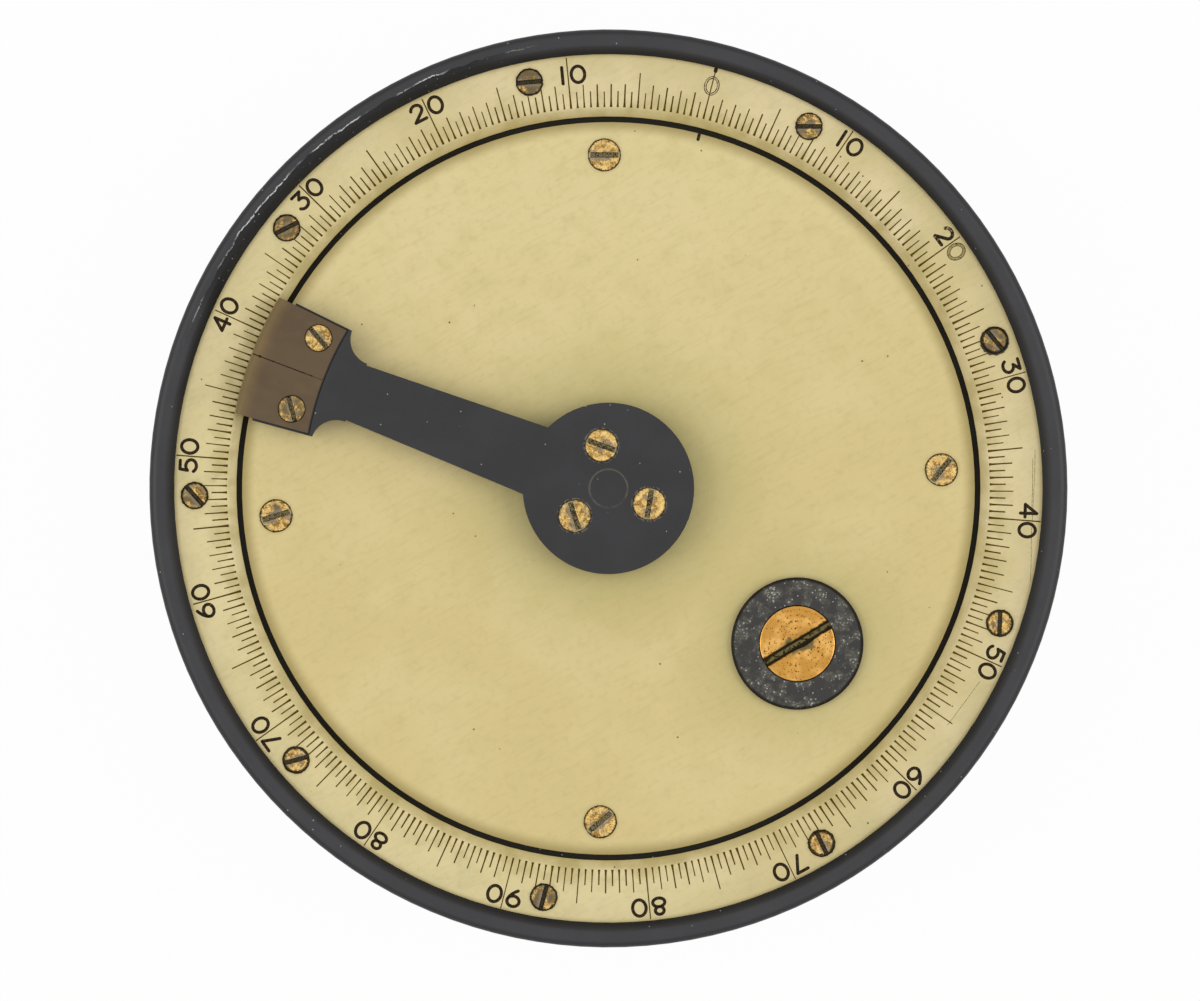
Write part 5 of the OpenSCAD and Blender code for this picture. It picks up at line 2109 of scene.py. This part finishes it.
@dataclass
class Works:
    """Gears, bushes and mirrors inside the drum."""

    rounding: float = 0.12
    brass: tuple[str, ...] = (
        "centre_bush", "friction_washer", "pinion", "mirror_arbor", "sector_gear", "spring_stud",
        "horizon_bracket_screws", "index_frame_screws",
    )
    steel: tuple[str, ...] = ("pinion_screw", "sector_screws", "stop_pins", "hairspring")

    def build(self) -> None:
        """Dress what turns and what it carries."""
        for node in self.brass:
            dress(node, WORKS_BRASS)
        for node in self.steel:
            dress(node, WORKS_STEEL)
        dress("index_mirror", SILVERED)
        dress("horizon_silver", SILVERED)
        dress("horizon_mirror", CLEAR)
        frames = (
            ("horizon_bracket", "horizon_frame", Body.CASE),
            ("index_mirror_frame", "index_frame", Body.MIRROR),
        )
        for node, name, body in frames:
            fit(softened(node, self.rounding), name, body, PLAIN_LACQUER, node)


@dataclass
class Studio:
    """White table, soft light from both sides, and a camera straight above the dial."""

    view_width: float = 156.75
    view_level: float = 32.98
    distance: float = 2500.0
    middle: Flat = (-1.1, -1.58)
    sensor: float = 36.0
    near: float = 50.0
    sky: float = 0.6
    lamp_watts: tuple[float, float] = (5.0, 5.6)
    lamp_reach: float = 1000.0
    lamp_height: float = 750.0
    lamp_size: float = 900.0
    table_size: float = 6000.0
    table_gap: float = 0.2
    table_glow: float = 0.96
    paper: str = "#F4F4F2"
    white: str = "#FFFFFF"

    def build(self) -> None:
        """Set the camera, the table, the lamps and the sky."""
        bpy.context.scene.view_settings.view_transform = "Standard"
        self.camera()
        self.table()
        for side, watts in zip((-1, 1), self.lamp_watts):
            self.lamp(side, watts)
        self.surroundings()

    def camera(self) -> None:
        """Look straight down, with the photograph's width across the rim."""
        lens = bpy.data.cameras.new("Camera")
        lens.sensor_width = self.sensor
        lens.sensor_fit = "HORIZONTAL"
        lens.lens = self.sensor * self.distance / self.view_width
        lens.clip_start = self.near * MM
        camera = added(lens)
        camera.location = Vector((*self.middle, self.view_level + self.distance)) * MM
        bpy.context.scene.camera = camera

    @staticmethod
    def seen(tree: Tree) -> Socket:
        """Tell rays that show a surface to the eye from rays that light the object.

        Args:
            tree: Tree that gets the nodes.

        Returns:
            One for rays from the camera, off gloss and through glass, else zero.
        """
        ray = add_node(tree, "ShaderNodeLightPath", out="Is Camera Ray")
        shown: Socket = ray
        for kind in ("Is Glossy Ray", "Is Transmission Ray"):
            shown = add_node(
                tree, "ShaderNodeMath", {0: shown, 1: ray.node.outputs[kind]}, operation="MAXIMUM"
            )
        return shown

    def table(self) -> None:
        """Lay a white table that keeps the object's shadow."""
        half, level = self.table_size * MM / 2, -self.table_gap * MM
        mesh = bpy.data.meshes.new("Table")
        corners = [(-half, -half), (half, -half), (half, half), (-half, half)]
        mesh.from_pydata([(x, y, level) for x, y in corners], [], [(0, 1, 2, 3)])
        paper = bpy.data.materials.new("White paper")
        tree = bare_tree(paper)
        lit = add_node(tree, "ShaderNodeBsdfDiffuse", {"Color": srgb(self.paper)})
        glow = add_node(tree, "ShaderNodeEmission", {"Color": srgb(self.white), "Strength": 1.0})
        share = add_node(
            tree, "ShaderNodeMath", {0: self.seen(tree), 1: self.table_glow}, operation="MULTIPLY"
        )
        sheet = add_node(tree, "ShaderNodeMixShader", {0: share, 1: lit, 2: glow})
        add_node(tree, "ShaderNodeOutputMaterial", {"Surface": sheet})
        mesh.materials.append(paper)
        table = added(mesh)

    def lamp(self, side: int, watts: float) -> None:
        """Hang a large soft lamp on one side.

        Args:
            side: Minus one for the left, one for the right.
            watts: Power of the lamp.
        """
        light = bpy.data.lights.new("Softbox", "AREA")
        light.energy = watts
        light.size = self.lamp_size * MM
        lamp = added(light, "Softbox")
        lamp.location = (side * self.lamp_reach * MM, 0, self.lamp_height * MM)
        lamp.rotation_euler = (-lamp.location).to_track_quat("-Z", "Y").to_euler()

    def surroundings(self) -> None:
        """Surround the table with white, dimmer for the light that it casts."""
        world = bpy.data.worlds.new("White room")
        bpy.context.scene.world = world
        tree = bare_tree(world)
        level = add_node(
            tree, "ShaderNodeMath", {0: self.seen(tree), 1: 1 - self.sky, 2: self.sky},
            operation="MULTIPLY_ADD",
        )
        white = add_node(tree, "ShaderNodeBackground", {"Color": srgb(self.white), "Strength": level})
        add_node(tree, "ShaderNodeOutputWorld", {"Surface": white})


def main() -> None:
    """Build the sextant round its solids, and the studio round the sextant."""
    logging.basicConfig(level=logging.INFO, format="%(message)s")
    for assembly in (Studio(), Case(), Dial(), Scale(), Arm(), Arbor(), Works()):
        assembly.build()


if __name__ == "__main__":
    main()
